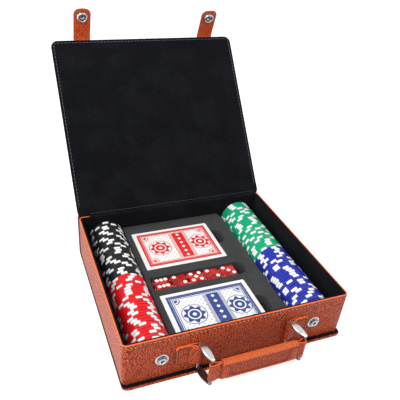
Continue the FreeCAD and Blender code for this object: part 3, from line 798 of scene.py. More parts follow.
@dataclass(frozen=True)
class CartonPrint:
    """Coated card printed with a framed lattice, a cross band and two rosettes."""

    name: str
    ink: Colour
    middle: Pair
    half: Pair = (46.5, 33.0)
    paper: Colour = (0.86, 0.85, 0.83)
    top: float = 30.15
    margin: Pair = (4.6, 4.2)
    frame_width: float = 4.0
    lattice: float = 5.6
    band_half: float = 6.6
    band_shift: float = 5.0
    rosette_at: float = 24.0
    rosette_radius: float = 10.0

    def material(self) -> bpy.types.Material:
        """Every motif is a mask in millimetres from the carton's middle.

        The frame is a range of the distance to the field's edge, the lattice the folded sums u + v and u - v,
        the band a range of u, and a rosette the region where the radius is below a petal curve of the angle.

        Returns:
            The material.
        """
        recipe = Recipe.named(self.name)
        x, y, z = recipe.axes(recipe.place())
        u, v = x - self.middle[0], y - self.middle[1]
        off_u = (self.half[0] - self.margin[0]) - abs(u)
        off_v = (self.half[1] - self.margin[1]) - abs(v)
        inside = off_u.least(off_v)
        wide = self.frame_width
        frame = inside.step(0.0, 0.12) * inside.step(wide, wide + 0.12, 1.0, 0.0)
        beads = abs((u * 0.5).apply("FRACT") - 0.5) + abs((v * 0.5).apply("FRACT") - 0.5)
        frame = frame * (1 - abs(inside - wide * 0.62).step(0.2, 0.32, 1.0, 0.0) * beads.step(0.4, 0.5, 1.0, 0.0))
        second = abs(inside - wide - 1.2).step(0.30, 0.42, 1.0, 0.0)
        field_mask = inside.step(wide + 2.4, wide + 2.5)
        one = abs(((u + v) / self.lattice).apply("FRACT") - 0.5)
        two = abs(((u - v) / self.lattice).apply("FRACT") - 0.5)
        pattern = field_mask * (one + two).step(0.13, 0.19, 1.0, 0.0)
        for way in (-1.0, 1.0):
            du, dv = u - way * self.rosette_at - self.band_shift * 0.5, v
            radius = (du * du + dv * dv).apply("SQRT")
            petal = (dv.apply("ARCTAN2", du) * 8.0).apply("COSINE") * 1.5 + self.rosette_radius
            clear = radius.step(self.rosette_radius + 3.4, self.rosette_radius + 3.55, 1.0, 0.0)
            solid = (petal - radius).step(0.0, 0.15) * radius.step(6.6, 6.75)
            hub = radius.step(5.2, 5.35, 1.0, 0.0) * radius.step(2.0, 2.15)
            rim = abs(radius - self.rosette_radius - 2.5).step(0.35, 0.47, 1.0, 0.0)
            pattern = pattern * (1 - clear) + clear * solid.most(hub).most(rim)
        in_u, in_v = off_u - wide - 2.4, off_v - wide - 2.4
        bow = (in_u * in_u + in_v * in_v).apply("SQRT")
        fan = abs(bow - 5.8).step(0.5, 0.6, 1.0, 0.0).most(bow.step(3.8, 3.9, 1.0, 0.0)) * field_mask
        pattern = pattern * bow.step(7.2, 7.3) + fan
        offset = abs(u - self.band_shift)
        band_mask = offset.step(self.band_half, self.band_half + 0.12, 1.0, 0.0)
        stripe = offset.step(self.band_half + 3.4, self.band_half + 3.52, 1.0, 0.0) - band_mask
        hatch = ((offset - self.band_half) * 0.9).apply("FRACT").step(0.45, 0.55)
        diamonds = offset + abs((v / 7.5).apply("FRACT") - 0.5) * 7.5
        band_ink = 1 - diamonds.step(2.1, 2.3, 1.0, 0.0)
        inner = inside.step(wide + 2.2, wide + 2.3)
        pattern = pattern * (1 - (band_mask + stripe) * inner) + inner * (band_mask * band_ink + stripe * hatch)
        ink = frame.most(second).most(pattern)
        on_top = z.step(self.top, self.top + 0.1)
        low = abs(z - (self.top - 8.2)).step(5.2, 5.32, 1.0, 0.0)
        side_line = abs(z - (self.top - 8.2)).step(4.2, 4.3) * low
        along = abs(abs(u) - 30.0).step(9.0, 9.15)
        side_ink = low * (1 - side_line * 0.6) * (0.55 + 0.45 * along)
        share = on_top * ink + (1 - on_top) * side_ink
        rub = recipe.noise(recipe.place(), 9.0, 4.0, 0.6)
        fibre = recipe.noise(recipe.place(), 0.4, 2.0)
        share = share * rub.step(0.2, 0.55, 0.95, 1.0)
        paper = recipe.blend(rub.step(0.3, 0.8) * 0.6, self.paper, tuple(c * 0.95 for c in self.paper))
        colour = recipe.blend(share, paper, self.ink)
        return recipe.surface(fibre * 0.7 + rub * 0.3, 0.012, Base_Color=colour, Roughness=0.32 + 0.1 * rub,
                              Coat_Roughness=0.2)


@dataclass(frozen=True)
class Stock:
    """A pressed stack of cards: fine parallel lines on its sides."""

    name: str = "card_stock"
    tone: Colour = (0.82, 0.81, 0.78)
    line: Colour = (0.55, 0.54, 0.52)
    leaf: float = 0.29

    def material(self) -> bpy.types.Material:
        """The fold of the height by a leaf's thickness gives the lines."""
        recipe = Recipe.named(self.name)
        _, _, z = recipe.axes(recipe.place())
        leaves = abs((z / self.leaf).apply("FRACT") - 0.5)
        colour = recipe.blend(leaves.step(0.30, 0.5), self.tone, self.line)
        return recipe.surface(leaves, 0.03, Base_Color=colour, Roughness=0.5)


@dataclass(frozen=True)
class ClearRed:
    """Clear red cast plastic with a polished skin."""

    name: str = "dice_red"
    tone: Colour = (0.74, 0.020, 0.014)
    deep: Colour = (0.30, 0.006, 0.005)

    def material(self) -> bpy.types.Material:
        """Slow colour change inside and a few handling marks in the gloss."""
        recipe = Recipe.named(self.name)
        flow = recipe.noise(recipe.warped(recipe.place(), 9.0, 4.0), 7.0, 1.0)
        marks = recipe.noise(recipe.place(stretch=(6.0, 1.0, 1.0)), 2.0, 3.0)
        colour = recipe.blend(flow.step(0.34, 0.64), self.tone, self.deep)
        return recipe.surface(marks, 0.002, Base_Color=colour, Roughness=marks.step(0.55, 0.8, 0.06, 0.14),
                              Transmission_Weight=0.12, IOR=1.49, Specular_IOR_Level=0.22)


@dataclass(frozen=True)
class Plain:
    """A small matt or satin finish with fine grain: paint, thread, edge ink, and the painted highlights and painted
    shade of edges, creases and needle holes.
    """

    name: str
    tone: Colour
    second: Colour
    size: float = 0.4
    rough: float = 0.6
    relief: float = 0.03

    def material(self) -> bpy.types.Material:
        """Fine noise between two tones."""
        recipe = Recipe.named(self.name)
        grain = recipe.noise(recipe.place(), self.size, 2.0)
        colour = recipe.blend(grain.step(0.35, 0.65), self.tone, self.second)
        return recipe.surface(grain, self.relief, Base_Color=colour, Roughness=self.rough + grain * 0.1)


class Finish(Enum):
    """The finishes of the case and what it holds."""

    LEATHER = Leatherette()
    HANDLE = Leatherette(name="leatherette_handle", tone=(0.66, 0.084, 0.013), crease=(0.18, 0.014, 0.002),
                         pebble=1.6, relief=0.32, run=1.15)
    # The straps' copy of the leatherette: finer grain, paler creases, and a lighter tone as painted light.
    STRAP = Leatherette(name="leatherette_strap", tone=(0.80, 0.116, 0.026), crease=(0.36, 0.034, 0.007),
                        pebble=1.3, relief=0.34)
    LINING = Nap()
    INSERT = Nap(name="flocked_insert", deep=(0.036, 0.036, 0.037), lifted=(0.060, 0.060, 0.062), sheen=0.08,
                 relief=0.07)
    BOARD = Board()
    METAL = Metal()
    SATIN = Metal(name="satin_metal", tone=(0.62, 0.61, 0.60), haze=0.20)
    FASTENER = Metal(name="fastener_metal", tone=(0.48, 0.49, 0.51), haze=0.12)
    SHADED_METAL = Metal(name="shaded_metal", tone=(0.20, 0.20, 0.21), haze=0.22)
    THREAD = Plain("thread", (0.42, 0.25, 0.20), (0.58, 0.38, 0.31), 0.25, 0.6)
    # The thread's own tone, darkened with painted shade of the grooves the rows run in.
    GRIP_THREAD = Plain("grip_thread", (0.050, 0.014, 0.009), (0.11, 0.030, 0.018), 0.25, 0.6)
    # The tab thread's own brown, darkened with painted shade.
    BROWN_THREAD = Plain("brown_thread", (0.020, 0.009, 0.007), (0.045, 0.020, 0.015), 0.25, 0.6)
    # A pale bead along the hinge crease: a painted highlight.
    CREASE_THREAD = Plain("crease_thread", (0.030, 0.031, 0.034), (0.050, 0.051, 0.056), 0.25, 0.6)
    GREY_THREAD = Plain("lining_thread", (0.085, 0.087, 0.092), (0.14, 0.142, 0.15), 0.25, 0.6)
    # A painted highlight on turned edges that face the light.
    BRIGHT_EDGE = Plain("edge_highlight", (0.96, 0.170, 0.035), (0.78, 0.115, 0.020), 1.2, 0.42, 0.05)
    # Edge ink on the straps' sides, and painted shade on the ends and undersides of the tabs and band and on the
    # grip's end caps.
    EDGE = Plain("edge_ink_and_shade", (0.060, 0.011, 0.006), (0.10, 0.018, 0.009), 0.6, 0.45)
    # Painted shade on the narrow sides of the base and spine.
    DARK_EDGE = Plain("dark_edge", (0.014, 0.008, 0.007), (0.026, 0.013, 0.010), 0.6, 0.5)
    # Needle holes, their darkness painted shade in the sunk holes.
    HOLE = Plain("needle_hole", (0.10, 0.018, 0.008), (0.13, 0.024, 0.010), 0.6, 0.8)
    DARK_HOLE = Plain("dark_hole", (0.006, 0.005, 0.005), (0.010, 0.008, 0.008), 0.6, 0.8)
    PIPS = Plain("pip_paint", (0.93, 0.92, 0.91), (0.88, 0.87, 0.86), 0.5, 0.35, 0.01)
    BLACK = ChipBody("chip_black", (0.014, 0.014, 0.016), -83.0)
    RED = ChipBody("chip_red", (0.88, 0.008, 0.016), -83.0)
    GREEN = ChipBody("chip_green", (0.001, 0.44, 0.205), 84.6)
    BLUE = ChipBody("chip_blue", (0.018, 0.030, 0.42), 84.6)
    CARTON_RED = CartonPrint("carton_red", (0.70, 0.012, 0.014), (-10.5, 46.3))
    CARTON_BLUE = CartonPrint("carton_blue", (0.016, 0.042, 0.22), (-10.5, -60.2))
    STOCK = Stock()
    DICE = ClearRed()


MADE: dict[Finish, bpy.types.Material] = {}


def finish(which: Finish) -> bpy.types.Material:
    """The material of a finish, made once."""
    if which not in MADE:
        MADE[which] = which.value.material()
    return MADE[which]


def piece(name: str, shell: Shell, finishes: Sequence[Finish], body: str,
          stands_for: Sequence[str] = (), sharp: float = 42.0, ride: bool = True) -> bpy.types.Object:
    """Makes a surface an object of the scene.

    Args:
        name: the piece's name.
        shell: its surface.
        finishes: its finishes, in the order of the surface's finish numbers.
        body: the body that it rides on.
        stands_for: the nodes that it replaces.
        sharp: edges that turn by more than this many degrees stay sharp.
        ride: whether it rides on its body now; where it doesn't, the piece is left on no body.

    Returns:
        The object.
    """
    mesh = bpy.data.meshes.new(name)
    faces = shell.quads.tolist() + shell.triangles.tolist()
    mesh.from_pydata((shell.points * MM).tolist(), [], faces)
    mesh.polygons.foreach_set("material_index", np.concatenate([shell.quad_finish, shell.triangle_finish]))
    mesh.polygons.foreach_set("use_smooth", np.ones(len(faces), bool))
    mark = mesh.attributes.new("turn", "FLOAT", "POINT")
    mark.data.foreach_set("value", shell.marks.astype(np.float32))
    mesh.validate()
    mesh.set_sharp_from_angle(angle=math.radians(sharp))
    for which in finishes:
        mesh.materials.append(finish(which))
    made = bpy.data.objects.new(name, mesh)
    bpy.context.scene.collection.objects.link(made)
    if ride:
        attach(made, body)
    if stands_for:
        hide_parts(*stands_for)
    LOG.info("%s: %d faces on %s", name, len(faces), body)
    return made


# Sub-assemblies


@dataclass
class Tray:
    """The tray's leatherette wall, rolled over the rim, and its stitching."""

    half: Pair = (113.0, 98.0)
    radius: float = 4.6
    rim: float = 52.0
    foot: float = 2.8
    wall: float = 3.2
    stitch_drop: float = 3.4

    def outline(self) -> Outline:
        """The plan of the wall."""
        return rounded_rectangle((-self.half[0], self.half[0]), (-self.half[1], self.half[1]), (self.radius,) * 4,
                                 14, 40)

    def profile(self) -> list[Pair]:
        """The wall's section: a face that swells slightly, a sunk stitch line, a soft rim and a turned-in lip."""
        top, line = self.rim, self.rim - self.stitch_drop
        return [(0.0, self.foot), (-0.08, self.foot + 0.6), (-0.12, 8.0), (-0.16, 20.0), (-0.16, 34.0),
                (-0.12, line - 2.5), (-0.06, line - 0.9), (0.16, line - 0.25), (0.16, line + 0.25),
                (-0.04, line + 0.8), (-0.06, top - 1.3), (0.02, top - 0.6), (0.22, top - 0.18), (0.55, top),
                (0.95, top + 0.02), (1.25, top - 0.16), (1.42, top - 0.5), (1.45, top - 1.0), (0.8, top - 1.3),
                (0.8, self.foot)]

    def lining_profile(self) -> list[Pair]:
        """The lining's section: from under the leatherette's edge over the rim and down the inside."""
        top, wall = self.rim, self.wall
        return [(0.85, top - 1.0), (1.15, top - 0.55), (1.5, top - 0.3), (2.1, top - 0.16), (2.7, top - 0.26),
                (3.05, top - 0.6), (wall, top - 1.3), (wall, 30.0), (wall, self.foot), (2.62, self.foot),
                (2.62, 30.0), (2.62, top - 1.9)]

    def build(self) -> None:
        """Makes the wall, the lining and the wall's stitches."""
        outline = self.outline()
        wrap = hoop(outline, self.profile())
        segment = np.arange(len(wrap.quads)) // len(outline.radii)
        # The rim's top segments take a painted highlight.
        wrap.quad_finish[:] = (segment >= 11) & (segment < 16)
        piece("tray_wrap", wrap, [Finish.LEATHER, Finish.BRIGHT_EDGE], "case", ["tray_cover"])
        piece("tray_lining_wrap", hoop(outline, self.lining_profile()), [Finish.LINING], "case",
              ["tray_lining"])
        plan = outline.at(0.06)
        path = np.column_stack([plan, np.full(len(plan), self.rim - self.stitch_drop)])
        path = np.vstack([path, path[:1]])
        away = np.column_stack([outline.normals, np.zeros(len(plan))])
        away = np.vstack([away, away[:1]])
        thread = Thread(pitch=4.2, length=2.7, width=0.6, rise=0.26)
        piece("tray_stitches", thread.stitched(path, away), [Finish.THREAD, Finish.HOLE], "case")


@dataclass
class BaseAndSpine:
    """The base panel and the spine, one turned-up sheet of covered board."""

    half: float = 113.9
    front: float = -102.2
    back: float = 101.1
    top: float = 52.4
    thick: float = 2.5
    bend: float = 2.2
    corner: float = 4.0

    def build(self) -> None:
        """Makes the sheet and the stitches round the spine."""
        t = self.thick / 2
        y_mid = self.back - t
        path = eased(np.array([(0, self.front, t), (0, y_mid, t), (0, y_mid, self.top)]), 0.5, self.bend * 1.2)
        length = measured(path)
        rows = np.unique(np.concatenate([np.arange(0, 16), np.arange(16, len(path) - 130, 12),
                                         np.arange(len(path) - 130, len(path) - 90), np.arange(len(path) - 90,
                                         len(path) - 12, 6), np.arange(len(path) - 12, len(path))]))
        rows = rows[(rows >= 0) & (rows < len(path))]
        widths = rounded_ends(length, length[-1], self.half, self.corner, 1.5)
        # The narrow sides take painted shade; the front edge stays leatherette.
        shell = band(path[rows], np.array([1.0, 0, 0]), self.thick, widths[rows], 0.42, "sides")
        at_front = shell.points[shell.quads].mean(axis=1)[:, 1] < self.front + self.corner + 0.5
        shell.quad_finish[at_front] = 0
        piece("base_and_spine_wrap", shell, [Finish.LEATHER, Finish.DARK_EDGE], "case",
              ["base_cover", "spine_cover"])
        inset, y = 3.2, self.back + 0.02
        x = self.half - inset
        path = eased(np.array([(-x, y, 5.5), (-x, y, self.top - inset), (x, y, self.top - inset), (x, y, 5.5)]),
                     0.8, 2.4)
        thread = Thread(pitch=4.2, length=2.7, width=0.6, rise=0.26)
        piece("spine_stitches", thread.stitched(path, np.array([0, 1.0, 0]), 2), [Finish.THREAD, Finish.HOLE],
              "case")


@dataclass
class Lid:
    """The lid: covered board, lining, the hinge fold and the stitching."""

    half: float = 113.6
    start: float = 1.9
    end: float = 204.2
    half_thick: float = 1.5
    radius: float = 8.0
    hinge: Pair = (99.3, 53.7)
    open_deg: float = 50.2
    stitch_inset: float = 3.0
    lining_x: Pair = (-101.0, 110.0)

    def turn(self) -> Array:
        """The rotation from the lid's flat frame to its open rest."""
        c, s = math.cos(math.radians(self.open_deg)), math.sin(math.radians(self.open_deg))
        return np.array([[1, 0, 0], [0, c, -s], [0, s, c]])

    def shift(self) -> Array:
        """The place of the lid's flat frame."""
        return np.array([0.0, *self.hinge])

    def set_open(self, points: Array) -> Array:
        """Points of the lid's flat frame at its open rest."""
        return points @ self.turn().T + self.shift()

    def outline(self, corner: int = 12) -> Outline:
        """The plan of the lid, nearly square at the hinge."""
        return rounded_rectangle((-self.half, self.half), (self.start, self.end), (0.9, 0.9, self.radius,
                                                                                  self.radius), corner, 30)

    def build(self) -> None:
        """Makes the lid's pieces."""
        t = self.half_thick
        outline = self.outline()
        edge = [(0.75, -t), (0.36, -t + 0.1), (0.1, -t + 0.36), (0.0, -t + 0.8), (0.0, t - 0.85), (0.1, t - 0.45),
                (0.36, t - 0.2), (0.75, t - 0.28)]
        below = slab(outline, edge, under=(0.25, 0.5, 0.75, 0.9, 0.96, 0.99))
        cover = below.placed(self.turn(), self.shift())
        piece("lid_wrap", cover, [Finish.LEATHER], "lid", ["lid_cover"])
        lining = [(0.6, t - 1.75), (0.1, t - 1.7), (-0.05, t - 1.4), (-0.07, t - 0.6), (0.06, t - 0.26),
                  (0.36, t - 0.04), (0.9, t + 0.06), (2.5, t + 0.06), (2.85, t - 0.06), (3.15, t - 0.06),
                  (3.6, t + 0.06)]
        inner = slab(self.lining_outline(), lining, (0.97, 0.92, 0.85, 0.7, 0.5, 0.3, 0.12), 0.14)
        piece("lid_lining_panel", inner.placed(self.turn(), self.shift()), [Finish.LINING], "lid",
              ["lid_lining"])
        self.stitches()
        self.fold()

    def lining_outline(self) -> Outline:
        """The lining's plan, whose corners are as round as the widest inset needs."""
        return rounded_rectangle((-self.half, self.half), (self.start, self.end), (3.8, 3.8, self.radius,
                                                                                  self.radius), 12, 30)

    def stitches(self) -> None:
        """The stitch lines along the lid's two sides and its far edge, inside and outside."""
        s = self.stitch_inset
        x, far = self.half - s, self.end - s
        corners = np.array([(-x, 6.0, 0), (-x, far, 0), (x, far, 0), (x, 6.0, 0)], float)
        line = eased(corners, 0.8, 4.5)
        for name, height, way, which, hole, slot, rise in (
                ("lid_stitches_inside", self.half_thick, 1.0, Finish.GREY_THREAD, Finish.DARK_HOLE, "lining", 0.18),
                ("lid_stitches_outside", -self.half_thick, -1.0, Finish.THREAD, Finish.HOLE, "leatherette", 0.26)):
            thread = Thread(pitch=4.2, length=2.7, width=0.6, rise=rise)
            path = self.set_open(line + np.array([0, 0, height]))
            normal = self.turn() @ np.array([0, 0, way])
            piece(name, thread.stitched(path, normal, 3), [which, hole], "lid")

    def fold(self) -> None:
        """The flexible fold along the hinge, leatherette outside and lining inside, shaped from the case onto the
        open lid and left on no body.
        """
        outside = [(101.1 - 0.45, 49.0), (101.1 - 0.42, 51.0), (101.55, 53.0)]
        far = self.set_open(np.array([(0, 3.2, -self.half_thick + 0.35), (0, 6.0, -self.half_thick + 0.40)]))
        path = np.array([(0, a, b) for a, b in outside] + [tuple(p) for p in far])
        cover = band(eased(path, 0.3, 2.0), np.array([1.0, 0, 0]), 0.8, self.half - 0.8, 0.4)
        made = piece("hinge_wrap", cover, [Finish.LEATHER], "case", ["hinge_fold_cover"], ride=False)
        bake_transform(made)
        inside = [(94.55, 47.6), (94.55, 51.2), (95.3, 52.35), (97.6, 52.4)]
        far = self.set_open(np.array([(0, 1.6, self.half_thick + 0.34), (0, 8.6, self.half_thick + 0.30)]))
        path = np.array([(0, a, b) for a, b in inside] + [tuple(p) for p in far])
        path = eased(path, 0.3, 1.6)
        share = np.clip((path[:, 1:].sum(axis=1) - 150.0) / 1.6, 0, 1)
        reach = self.half - 0.3
        left = self.lining_x[0] * (1 - share) - reach * share
        right = self.lining_x[1] * (1 - share) + reach * share
        bend = path.copy()
        path[:, 0] = (left + right) / 2
        lining = band(path, np.array([1.0, 0, 0]), 0.5, (right - left) / 2, 0.4)
        made = piece("hinge_lining", lining, [Finish.LINING], "case", ["hinge_fold_lining"], ride=False)
        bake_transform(made)
        # A pale bead along the lining's crease: a painted highlight.
        crease = bend[np.argmin(np.abs(bend[:, 2] - 54.6))]
        row = np.array([(self.lining_x[0] + 1.5, *crease[1:]), (self.lining_x[1] - 1.5, *crease[1:])])
        row[:, 1] -= 0.30
        thread = Thread(pitch=5.2, length=4.9, width=0.55, rise=0.1)
        made = piece("hinge_crease_highlight", thread.run(resampled(row, 2.0), np.array([0, -0.8, 0.6]), 4),
                     [Finish.CREASE_THREAD], "case", ride=False)
        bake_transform(made)


@dataclass
class SnapStrap:
    """One snap strap: the band, its socket and cap, and the stud on the front wall."""

    side: str
    x: float
    fold_deg: float
    lean_deg: float
    lid: Lid
    root_u: float = 204.8
    root_n: float = 0.8
    width: float = 19.4
    thick: float = 1.6
    end: float = 38.5
    tip: float = 6.5
    socket_at: float = 28.6
    stud_z: float = 24.6
    wall_y: float = -98.0

    def turn(self) -> Array:
        """The rotation from the strap's own frame, through its lean and its fold, to the open lid's rest."""
        a, f = math.radians(-self.lean_deg), math.radians(self.fold_deg)
        lean = np.array([[math.cos(a), -math.sin(a), 0], [math.sin(a), math.cos(a), 0], [0, 0, 1]])
        fold = np.array([[1, 0, 0], [0, math.cos(f), -math.sin(f)], [0, math.sin(f), math.cos(f)]])
        return self.lid.turn() @ fold @ lean

    def shift(self) -> Array:
        """The place of the strap's root."""
        return self.lid.set_open(np.array([self.x, self.root_u, self.root_n]))

    def build(self) -> None:
        """Makes the strap and its fastener."""
        turn, root = self.turn(), self.shift()
        along, out = turn @ np.array([0, 1.0, 0]), turn @ np.array([0, 0, 1.0])
        hidden = self.lid.set_open(np.array([(self.x, self.root_u - 3.0, 0.0), (self.x, self.root_u - 0.6, 0.0)]))
        first = root + along * 3.4 - out * self.thick / 2
        last = root + along * self.end - out * self.thick / 2
        path = eased(np.vstack([hidden, first, last]), 0.5, 3.0)
        length = measured(path)
        share = np.clip((length - 1.5) / 5.0, 0, 1)[:, None]
        share = share * share * (3 - 2 * share)
        across = unit((1 - share) * np.array([1.0, 0, 0]) + share * (turn @ np.array([1.0, 0, 0])))
        widths = rounded_ends(length, length[-1], self.width / 2, 0.0, self.tip)
        shell = band(path, across, self.thick, widths, 0.38, "sides")
        name = f"snap_strap_band_{self.side}"
        made = piece(name, shell, [Finish.STRAP, Finish.EDGE], f"strap_{self.side}",
                     [f"snap_strap_{self.side}", f"strap_root_{self.side}"], ride=False)
        start, end = root - along * 0.4, root + along * 2.8
        tuple(start * MM)
        tuple(end * MM)
        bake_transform(made)
        centre = root + along * self.socket_at
        socket = lathe([(0.0, 0.25), (1.4, 0.25), (1.75, 0.5), (2.1, 0.5), (2.2, 0.15), (3.9, 0.1), (3.95, 1.3),
                        (4.3, 1.75), (4.9, 1.9), (5.4, 1.72), (5.9, 1.3), (6.1, 0.85), (6.3, 0.6), (6.35, 0.2),
                        (6.3, 0.0)], second=(0, 3, 4, 5, 11, 12))
        piece(f"socket_{self.side}", socket.placed(turn, centre), [Finish.FASTENER, Finish.SHADED_METAL],
              f"strap_{self.side}", [f"snap_socket_{self.side}"])
        t = self.thick
        cap = lathe([(0.0, -t - 2.02), (1.6, -t - 2.0), (3.4, -t - 1.82), (5.0, -t - 1.4), (6.1, -t - 0.8),
                     (6.55, -t - 0.3), (6.6, -t), (1.8, -t + 0.02), (1.8, -0.1)])
        piece(f"cap_{self.side}", cap.placed(turn, centre), [Finish.FASTENER], f"strap_{self.side}",
              [f"snap_cap_{self.side}"])
        stud = lathe([(6.5, 0.0), (6.55, 0.3), (6.3, 0.62), (5.8, 0.84), (5.1, 0.8), (4.7, 0.55), (4.35, 0.52),
                      (3.9, 0.6), (3.3, 0.7), (3.05, 1.0), (3.2, 1.6), (3.62, 2.1), (3.7, 2.55), (3.4, 2.95),
                      (2.8, 3.1), (2.2, 2.95), (1.75, 2.4), (1.6, 1.4), (0.0, 1.3)],
                     second=(4, 5, 6, 7, 8, 9, 16, 17))
        face = np.array([[1.0, 0, 0], [0, 0, -1.0], [0, 1.0, 0]])
        piece(f"stud_{self.side}", stud.placed(face, np.array([self.x, self.wall_y, self.stud_z])),
              [Finish.FASTENER, Finish.SHADED_METAL], "case", [f"snap_stud_{self.side}"])


@dataclass
class Handle:
    """The carrying handle: two wall tabs, two oval links, the band and the padded grip."""

    x: float = 2.2
    half_span: float = 45.8
    post_y: float = -100.9
    post_radius: float = 1.3
    link_length: float = 20.4
    lean_deg: float = 11.3
    link_half: float = 3.7
    link_tip: float = 1.9
    link_thick: float = 2.2
    link_z: Pair = (5.0, 39.1)
    band_thick: float = 1.15
    tab_z: Pair = (13.2, 36.5)
    tab_end: float = 67.0
    tab_reach: float = 9.0
    tab_radius: float = 3.0
    band_z: Pair = (10.9, 31.5)
    sleeve_x: Pair = (-30.8, 46.7)
    sleeve_z: Pair = (9.8, 32.6)
    sleeve_thick: float = 7.2
    roll: float = 5.0
    lip: float = 4.2
    panel_end: float = 9.5
    panel_depth: float = 0.95
    wall_y: float = -98.0
    run_fit: float = 0.1
    open_fit: float = 0.35

    def front_post(self, sign: int) -> Array:
        """The middle of a link's front post in plan."""
        lean = math.radians(self.lean_deg)
        return np.array([self.x + sign * self.half_span + self.link_length * math.sin(lean),
                         self.post_y - self.link_length * math.cos(lean)])

    def around(self, centre: Array, radius: float, first: float, last: float) -> Array:
        """Points round a post from one angle to another, in degrees."""
        angle = np.radians(np.linspace(first, last, 17))
        return np.column_stack([centre[0] + radius * np.cos(angle), centre[1] + radius * np.sin(angle),
                                np.zeros(17)])

    def tab(self, sign: int) -> None:
        """A tab: one band from the wall, round the rear post and back over itself, with its stitches.

        Args:
            sign: -1 for the left tab and 1 for the right one.
        """
        side = "left" if sign < 0 else "right"
        t = self.band_thick
        post = np.array([self.x + sign * self.half_span, self.post_y])
        far = self.x + sign * self.tab_end
        near = post[0] + sign * self.tab_reach
        inner, outer = self.wall_y - t / 2, self.wall_y - 1.5 * t
        turn_from, turn_to = (90, -90) if sign < 0 else (90, 270)
        loop = self.around(post, self.post_radius + self.run_fit + t / 2, turn_from, turn_to)
        middle = sum(self.tab_z) / 2
        path = np.vstack([[(far, inner, 0)], [(near, inner, 0)], loop, [(near, outer, 0)], [(far, outer, 0)]])
        path = eased(path, 0.35, 1.4)
        path[:, 2] = middle
        path[:, 1] = np.minimum(path[:, 1], self.wall_y - t / 2)
        length = measured(path)
        half = (self.tab_z[1] - self.tab_z[0]) / 2
        widths = rounded_ends(length, length[-1], half, self.tab_radius, self.tab_radius)
        # The ends and the underside take painted shade, the top a painted highlight.
        shell = band(path, np.array([0, 0, 1.0]), t, widths, 0.36, "lit")
        piece(f"tab_{side}", shell, [Finish.HANDLE, Finish.EDGE, Finish.BRIGHT_EDGE], "case",
              [f"handle_tab_{side}"])
        y, inset = self.wall_y - 2 * t, 1.9
        low, high = self.tab_z[0] + inset, self.tab_z[1] - inset
        x0, x1 = near + sign * 1.0, far - sign * inset
        border = eased(np.array([(x0, y, low), (x1, y, low), (x1, y, high), (x0, y, high)]), 0.4, 2.2)
        cross = np.array([(x0, y, low), (x0, y, high)])
        thread = Thread(pitch=3.3, length=2.3, width=0.8, rise=0.22)
        shell = joined([thread.stitched(border, np.array([0, -1.0, 0]), 7),
                        thread.stitched(cross, np.array([0, -1.0, 0]), 8)])
        piece(f"tab_stitches_{side}", shell, [Finish.BROWN_THREAD, Finish.HOLE], "case")

    def lens(self) -> Outline:
        """The plan of a link's plate: two long arcs that run into two rounded tips."""
        half = self.link_length / 2
        rise = self.link_half - self.link_tip
        depth = (half * half - rise * rise) / (2 * rise)
        turn = math.degrees(math.atan2(depth, half))
        parts = ((-turn, turn, 17, (half, 0.0), self.link_tip),
                 (turn, 180 - turn, 26, (0.0, -depth), depth + self.link_half),
                 (180 - turn, 180 + turn, 17, (-half, 0.0), self.link_tip),
                 (180 + turn, 360 - turn, 26, (0.0, depth), depth + self.link_half))
        centres, normals, radii = [], [], []
        for first, last, count, centre, radius in parts:
            angle = np.radians(np.linspace(first, last, count, endpoint=False))
            centres.append(np.repeat([centre], count, axis=0))
            normals.append(np.stack([np.cos(angle), np.sin(angle)], axis=1))
            radii.append(np.full(count, radius))
        return Outline(np.vstack(centres), np.vstack(normals), np.concatenate(radii))

    def link(self, sign: int) -> None:
        """A link: two bevelled plates, and a rear and a front post with small collars.

        Args:
            sign: -1 for the left link and 1 for the right one.
        """
        side = "left" if sign < 0 else "right"
        t = self.link_thick
        plate = slab(self.lens(), [(0.5, 0.02), (0.2, 0.0), (0.06, 0.06), (0.0, 0.2), (0.0, t - 0.95),
                                   (0.05, t - 0.78), (0.62, t - 0.16), (0.78, t - 0.04), (1.0, t)],
                     (0.9, 0.6, 0.3), 0.06)
        ring = np.arange(len(plate.quads)) // len(self.lens().radii)
        plate.quad_finish[:] = np.where(ring >= 8, 1, np.where(ring == 3, 2, 0))
        plate.triangle_finish[:] = 1
        flip = np.diag([1.0, -1.0, -1.0])
        low, high = self.link_z
        half = self.link_length / 2
        post = lathe([(1.75, 0.0), (1.75, 0.5), (1.45, 0.8), (self.post_radius, 1.0),
                      (self.post_radius, high - low - 2 * t - 1.0), (1.45, high - low - 2 * t - 0.8),
                      (1.75, high - low - 2 * t - 0.5), (1.75, high - low - 2 * t)], 28)
        lower = plate.placed(flip, np.array([0, 0, low + t])).finished(2)
        parts = [plate.placed(np.eye(3), np.array([0, 0, high - t])), lower]
        parts += [post.placed(np.eye(3), np.array([x, 0, low + t])).finished(2) for x in (-half, half)]
        angle = math.radians(self.lean_deg - 90)
        turn = np.array([[math.cos(angle), -math.sin(angle), 0], [math.sin(angle), math.cos(angle), 0], [0, 0, 1]])
        front = self.front_post(sign)
        rear = np.array([self.x + sign * self.half_span, self.post_y])
        shell = joined(parts).placed(turn, np.array([*(front + rear) / 2, 0.0]))
        piece(f"oval_link_{side}", shell, [Finish.METAL, Finish.SATIN, Finish.SHADED_METAL], f"link_{side}",
              [f"link_{side}"])

